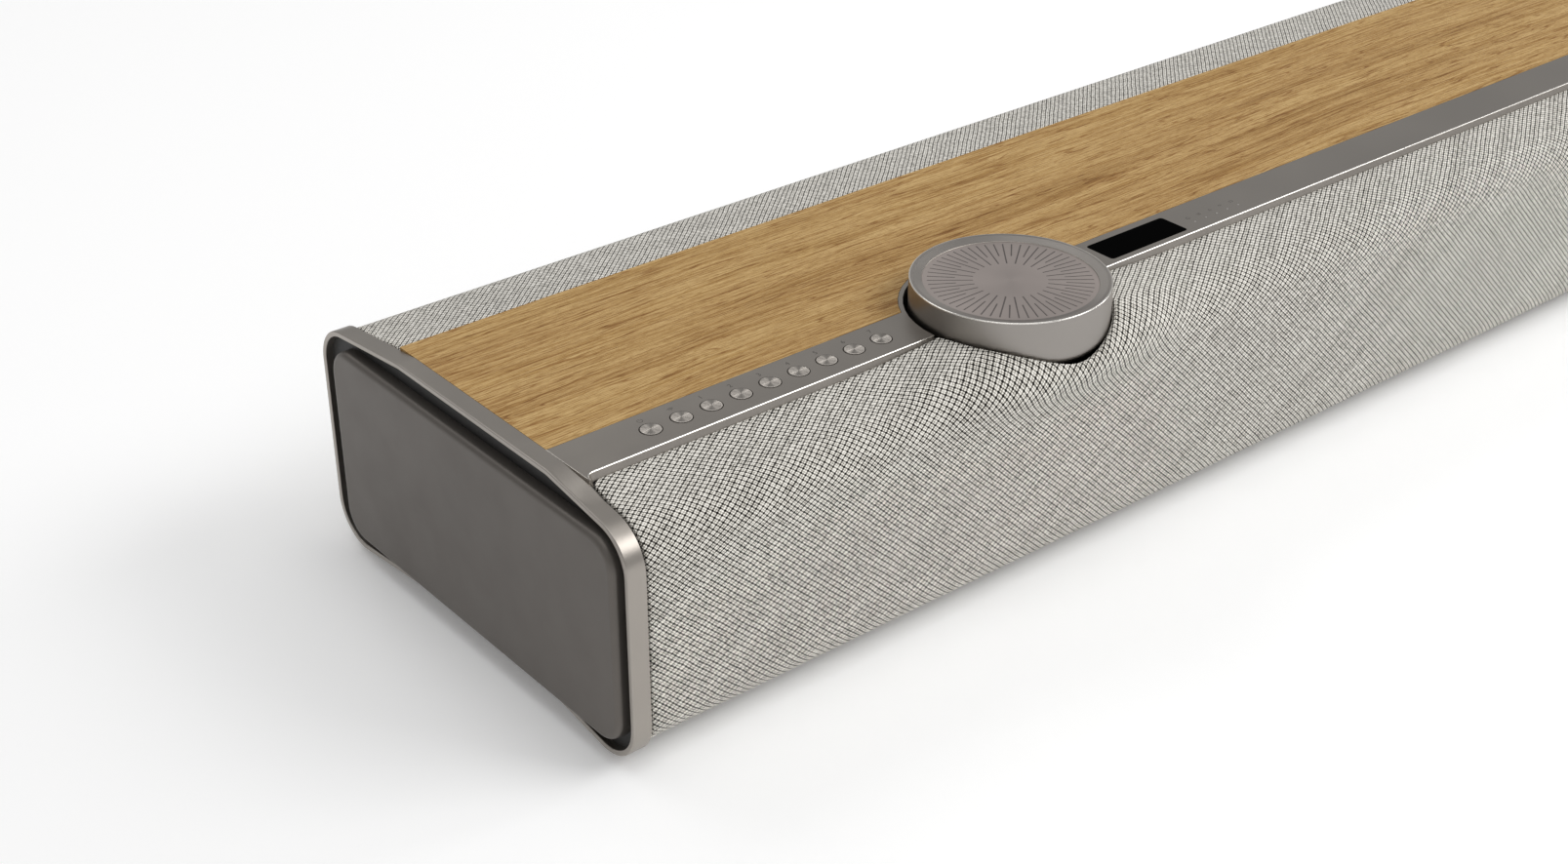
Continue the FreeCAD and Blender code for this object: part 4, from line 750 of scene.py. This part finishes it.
def shoulder(side):
    """Rise of the end frame that meets the strip's front corner; side is -1 at the left end."""
    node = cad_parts["left_end_frame" if side < 0 else "right_end_frame"]
    inner_x, outer_x = side * -FRAME_HIGH[0], side * (-FRAME_LOW[0] - 0.6)
    ys, xs = np.linspace(SHOULDER_START, SHOULDER_END, 81), np.linspace(inner_x, outer_x, 19)
    vertices = []
    for y in ys:
        above = ((inner_x + outer_x) / 2 * MM, y * MM, 0.12)
        level = node.ray_cast(above, (0.0, 0.0, -1.0))[1].z / MM
        rise = max(TOP - level, 0.0) * SHOULDER_SHARE * eased(y, SHOULDER_NONE, SHOULDER_FULL)
        for x in xs:
            part = 1 - abs((x - inner_x) / (outer_x - inner_x))
            vertices.append((x, y, level - 0.03 + (rise + 0.04) * part))
        vertices.append((inner_x, y, level - 0.5))
    wide = len(xs) + 1
    faces = []
    for row in range(len(ys) - 1):
        for column in range(wide):
            a, b = row * wide + column, row * wide + (column + 1) % wide
            faces.append((a, a + wide, b + wide, b) if side < 0 else (a, b, b + wide, a + wide))
    name = "left_shoulder" if side < 0 else "right_shoulder"
    return mesh_piece(name, vertices, faces, metal, smooth=True)


for side, label in ((-1, "left"), (1, "right")):
    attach(shoulder(side), "housing")
    end_path = [(side * -FRAME_HIGH[0], y) for y in (WOOD_LOW[1], -40.0, -45.0, -50.0, -55.0, -60.0)]
    end_path = end_path if side < 0 else end_path[::-1]
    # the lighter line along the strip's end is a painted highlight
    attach(edge_band(f"strip_end_line_{label}", end_path, END_LINE, seam_painted_highlight), "housing")


def turned_ring(name, section, material, steps=180):
    """Ring turned about the dial's axis from a closed section of (radius, level)."""
    vertices, faces, count = [], [], len(section)
    for k in range(steps):
        angle = 2 * math.pi * k / steps
        vertices += [(DIAL_X + r * math.cos(angle), DIAL_Y + r * math.sin(angle), z) for r, z in section]
    for k in range(steps):
        for j in range(count):
            a, b = k * count + j, k * count + (j + 1) % count
            c, d = (b + count) % len(vertices), (a + count) % len(vertices)
            faces.append((a, d, c, b))
    return mesh_piece(name, vertices, faces, material, smooth=True)


RIM_LEVEL, RIM_RADIUS = DIAL_HIGH[2], 35.35
FACE_LOW, FACE_HIGH = corners_of("dial_face")
FACE_RADIUS, FACE_LEVEL = (FACE_HIGH[0] - FACE_LOW[0]) / 2, FACE_HIGH[2]
rim_section = [(RIM_RADIUS + r, RIM_LEVEL + z) for r, z in (
    (-0.95, -0.40), (-0.80, -0.10), (-0.55, -0.005), (-0.30, -0.005),
    (-0.08, -0.12), (0.02, -0.40), (-0.30, -0.70), (-0.70, -0.70))]
ring_section = [(FACE_RADIUS + r, FACE_LEVEL + z) for r, z in (
    (-0.15, -0.3), (-0.05, 0.12), (0.15, 0.26), (0.42, 0.26), (0.60, 0.05), (0.60, -0.3))]
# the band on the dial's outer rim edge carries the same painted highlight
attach(turned_ring("dial_rim_edge", rim_section, smooth_edge_highlight), "dial")
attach(turned_ring("dial_face_ring", ring_section, metal), "dial")

# engraved lines: how many, half width, and reach of the long, the short and all of them, in face radii
LINES, LINE_HALF, LONG_START, SHORT_START, LINE_END = 56, 0.21, 0.425, 0.625, 0.943


def dial_ink():
    """Dark fill of the engraved lines on the dial's face."""
    vertices, faces = [], []
    for k in range(LINES):
        angle = 2 * math.pi * k / LINES
        near = FACE_RADIUS * (LONG_START if k % 2 == 0 else SHORT_START)
        far = FACE_RADIUS * LINE_END
        start = len(vertices)
        for r, side in ((near, -1), (near, 1), (far, 1), (far, -1)):
            x = DIAL_X + r * math.cos(angle) - side * LINE_HALF * math.sin(angle)
            y = DIAL_Y + r * math.sin(angle) + side * LINE_HALF * math.cos(angle)
            vertices += [(x, y, FACE_LEVEL - 0.2), (x, y, FACE_LEVEL - 0.02)]
        low_ring, high_ring = [start + 2 * j for j in range(4)], [start + 2 * j + 1 for j in range(4)]
        faces += [tuple(high_ring), tuple(low_ring[::-1])]
        for j in range(4):
            after = (j + 1) % 4
            faces.append((low_ring[j], low_ring[after], high_ring[after], high_ring[j]))
    ink = satin_metal("dial_ink", linear(84, 78, 75), 0.5, 0.0)
    return mesh_piece("dial_mark_fill", vertices, faces, ink)


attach(dial_ink(), "dial")


# ---------------------------------------------------------------- marks beside the buttons and lamps
MARK_LOW, MARK_HIGH, MARK_WIDTH = TOP - 0.02, TOP + 0.012, 0.2
MARK_ROW, LAMP_ROW_OFFSET, NUMERAL_SIZE = -41.6, 3.7, 2.9


def ribbon(points, width=MARK_WIDTH):
    """Closed thin bar along (x, y) points, as vertices and faces."""
    vertices, faces = [], []
    for k, (x, y) in enumerate(points):
        before, after = points[max(k - 1, 0)], points[min(k + 1, len(points) - 1)]
        dx, dy = after[0] - before[0], after[1] - before[1]
        size = math.hypot(dx, dy)
        sx, sy = -dy / size * width / 2, dx / size * width / 2
        vertices += [(x + sx, y + sy, MARK_LOW), (x + sx, y + sy, MARK_HIGH),
                     (x - sx, y - sy, MARK_HIGH), (x - sx, y - sy, MARK_LOW)]
    for k in range(len(points) - 1):
        for j in range(4):
            a, b = 4 * k + j, 4 * k + (j + 1) % 4
            faces.append((a, a + 4, b + 4, b))
    last = 4 * (len(points) - 1)
    return vertices, faces + [(0, 1, 2, 3), (last + 3, last + 2, last + 1, last)]


def arc(x, y, radius, start, end, count=17):
    """Points of an arc between two angles in degrees."""
    turns = [math.radians(start + (end - start) * k / (count - 1)) for k in range(count)]
    return [(x + radius * math.cos(a), y + radius * math.sin(a)) for a in turns]


def numeral(text, x, y, size):
    """Digit as a closed thin solid."""
    curve = bpy.data.curves.new("digit", "FONT")
    curve.body, curve.size, curve.extrude = text, size * MM, 0.016 * MM
    curve.align_x, curve.align_y, curve.resolution_u = "CENTER", "CENTER", 3
    holder = bpy.data.objects.new("digit", curve)
    mesh = bpy.data.meshes.new_from_object(holder)
    vertices = [(v.co.x / MM + x, v.co.y / MM + y, v.co.z / MM + TOP - 0.004) for v in mesh.vertices]
    faces = [tuple(f.vertices) for f in mesh.polygons]
    bpy.data.objects.remove(holder)
    bpy.data.meshes.remove(mesh)
    return vertices, faces


def marks():
    """Symbols and numerals beside the buttons and generic symbols beside the lamps, as one piece."""
    power_x, source_x, *preset_x = [
        (corners_of(name)[0][0] + corners_of(name)[1][0]) / 2 + 0.4 for name in BUTTONS]
    shapes = [ribbon(arc(power_x, MARK_ROW, 0.95, 125, 415)),
              ribbon([(power_x, MARK_ROW + 0.2), (power_x, MARK_ROW + 1.2)])]
    foot = MARK_ROW - 0.8
    shapes += [ribbon(arc(source_x, foot, radius, 40, 140, 9)) for radius in (0.55, 1.05, 1.55)]
    shapes.append(ribbon([(source_x - 0.12, foot), (source_x + 0.12, foot)], 0.24))
    shapes += [numeral(str(k), x, MARK_ROW, NUMERAL_SIZE) for k, x in enumerate(preset_x, 1)]

    low, high = corners_of("indicator_lamps")
    inset = (high[1] - low[1]) / 2
    lamp_x = [low[0] + inset + (high[0] - low[0] - 2 * inset) * k / 4 for k in range(5)]
    y = (low[1] + high[1]) / 2 + LAMP_ROW_OFFSET
    shapes.append(ribbon(arc(lamp_x[0], y, 0.75, 0, 350)))
    shapes += [ribbon([(lamp_x[1] - 0.8, y + d), (lamp_x[1] + 0.8, y + d)]) for d in (-0.5, 0.0, 0.5)]
    triangle = ((-0.7, -0.6), (0.7, -0.6), (0.0, 0.7), (-0.7, -0.6))
    shapes.append(ribbon([(lamp_x[2] + dx, y + dy) for dx, dy in triangle]))
    shapes += [ribbon(arc(lamp_x[3], y - 0.6, radius, 40, 140, 9)) for radius in (0.6, 1.2)]
    frame_line = ((-0.8, -0.5), (-0.8, 0.5), (0.8, 0.5), (0.8, -0.5), (-0.8, -0.5))
    shapes.append(ribbon([(lamp_x[4] + dx, y + dy) for dx, dy in frame_line]))

    vertices, faces = [], []
    for points, polygons in shapes:
        faces += [tuple(index + len(vertices) for index in polygon) for polygon in polygons]
        vertices += points
    ink = satin_metal("mark_ink", linear(70, 66, 62), 0.5, 0.0)
    return mesh_piece("control_marks", vertices, faces, ink)


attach(marks(), "housing")
# end panels: a darker, less metallic satin than the frames
dress(satin_metal("end_panel_darker_satin", linear(101, 96, 91), 0.46, 0.6), "left_end_panel", "right_end_panel")
dress(spun_metal("dial_metal", linear(158, 153, 148), 0.42, 0.75), "dial_shell")
dress(spun_metal("dial_face_metal", linear(184, 174, 169), 0.5, 0.3), "dial_face")
dress(spun_metal("button_metal", linear(196, 190, 183), 0.58, 0.95), *BUTTONS)
dress(oak("oak_veneer"), "timber_top")

gloss = Nodes("smoked_glass")
smear = gloss.noise(gloss.position(), 40.0, 4.0)
gloss.set(Base_Color=rgba(linear(5, 5, 5)), Roughness=gloss.remap(smear, 0.3, 0.7, 0.08, 0.14),
          IOR=1.04, Specular_IOR_Level=0.1)
dress(gloss.material, "display_window")

dress(moulded_plastic("black_plastic", linear(26, 25, 24), 0.55), "front_grille_carrier",
      "rear_grille_carrier", "dial_well", "top_tray", "speaker_case", "rear_cover",
      "left_end_bulkhead", "right_end_bulkhead", "base_plate", "dial_encoder")
dress(moulded_plastic("socket_plastic", linear(34, 34, 35), 0.4), "power_inlet", "optical_socket",
      "network_socket", "hdmi_socket", "usb_socket")
dress(satin_metal("panel_steel", linear(70, 69, 67), 0.42), "connector_panel")
dress(satin_metal("dark_steel", linear(110, 108, 105), 0.3), "connector_screws", "base_screws",
      "end_screws", "dial_shaft", "heat_sink", "power_supply")
dress(moulded_plastic("rubber", linear(30, 30, 30), 0.8, 0.0004), "rubber_feet")
dress(moulded_plastic("circuit_board", linear(24, 60, 40), 0.4), "button_board", "display_board",
      "main_board")
dress(moulded_plastic("switch_plastic", linear(60, 60, 60), 0.5), "button_switches")
dress(moulded_plastic("lamp_plastic", linear(150, 146, 140), 0.3), "indicator_lamps")
dress(moulded_plastic("basket_plastic", linear(36, 36, 36), 0.5), "left_woofer_frame",
      "centre_woofer_frame", "right_woofer_frame", "left_upfiring_frame", "right_upfiring_frame",
      "left_tweeter", "right_tweeter")
dress(moulded_plastic("paper_cone", linear(46, 45, 44), 0.75), "left_woofer_cone",
      "centre_woofer_cone", "right_woofer_cone", "left_upfiring_cone", "right_upfiring_cone")


# ---------------------------------------------------------------- studio
def studio():
    """Camera, lights, world and floor; the camera's place and angles are in metres and degrees."""
    scene = bpy.context.scene
    scene.view_settings.view_transform = "Standard"
    camera = bpy.data.cameras.new("camera")
    camera.lens, camera.sensor_width = 51.09, 36.0
    camera.clip_start, camera.clip_end = 0.05, 50.0
    eye = bpy.data.objects.new("camera", camera)
    eye.location = (-0.78824, -0.54255, 0.44400)
    eye.rotation_euler = (math.radians(59.864), 0.0, math.radians(-39.269))
    scene.collection.objects.link(eye)
    scene.camera = eye
    world = bpy.data.worlds.new("studio")
    world.use_nodes = True
    background = world.node_tree.nodes["Background"]
    background.inputs["Color"].default_value = (1.0, 1.0, 1.0, 1.0)
    background.inputs["Strength"].default_value = 0.42
    scene.world = world
    floor = bpy.data.meshes.new("floor")
    floor.from_pydata([(-9, -9, 0), (9, -9, 0), (9, 9, 0), (-9, 9, 0)], [], [(0, 1, 2, 3)])
    plain = Nodes("floor_paper")
    plain.set(Base_Color=(0.96, 0.96, 0.96, 1.0), Roughness=0.9, Specular_IOR_Level=0.1,
              Emission_Color=(1.0, 1.0, 1.0, 1.0), Emission_Strength=0.10)
    floor.materials.append(plain.material)
    ground = bpy.data.objects.new("floor", floor)
    ground.location.z = -0.0002
    scene.collection.objects.link(ground)
    # name, place, aim, width, height, power
    lights = (
        ("key", (1.5, -1.8, 2.1), (0.0, 0.0, 0.0), 1.8, 1.4, 38.0),
        ("overhead", (-0.3, -0.4, 2.8), (-0.1, 0.0, 0.0), 2.0, 1.6, 18.0),
        ("back", (-0.5, 1.7, 2.2), (-0.2, 0.0, 0.05), 1.6, 1.0, 9.0),
        ("right", (2.2, -0.60, 1.10), (-0.28, -0.08, 0.09), 0.5, 0.9, 9.0),
        ("left", (-2.4, -0.9, 1.9), (-0.4, 0.0, 0.05), 1.4, 1.2, 1.5),
    )
    for name, place, aim, wide, tall, power in lights:
        lamp = bpy.data.lights.new(name, "AREA")
        lamp.shape, lamp.size, lamp.size_y, lamp.energy = "RECTANGLE", wide, tall, power
        holder = bpy.data.objects.new(name, lamp)
        holder.location = place
        holder.rotation_euler = (Vector(aim) - Vector(place)).to_track_quat("-Z", "Y").to_euler()
        holder.visible_camera = False
        scene.collection.objects.link(holder)


studio()
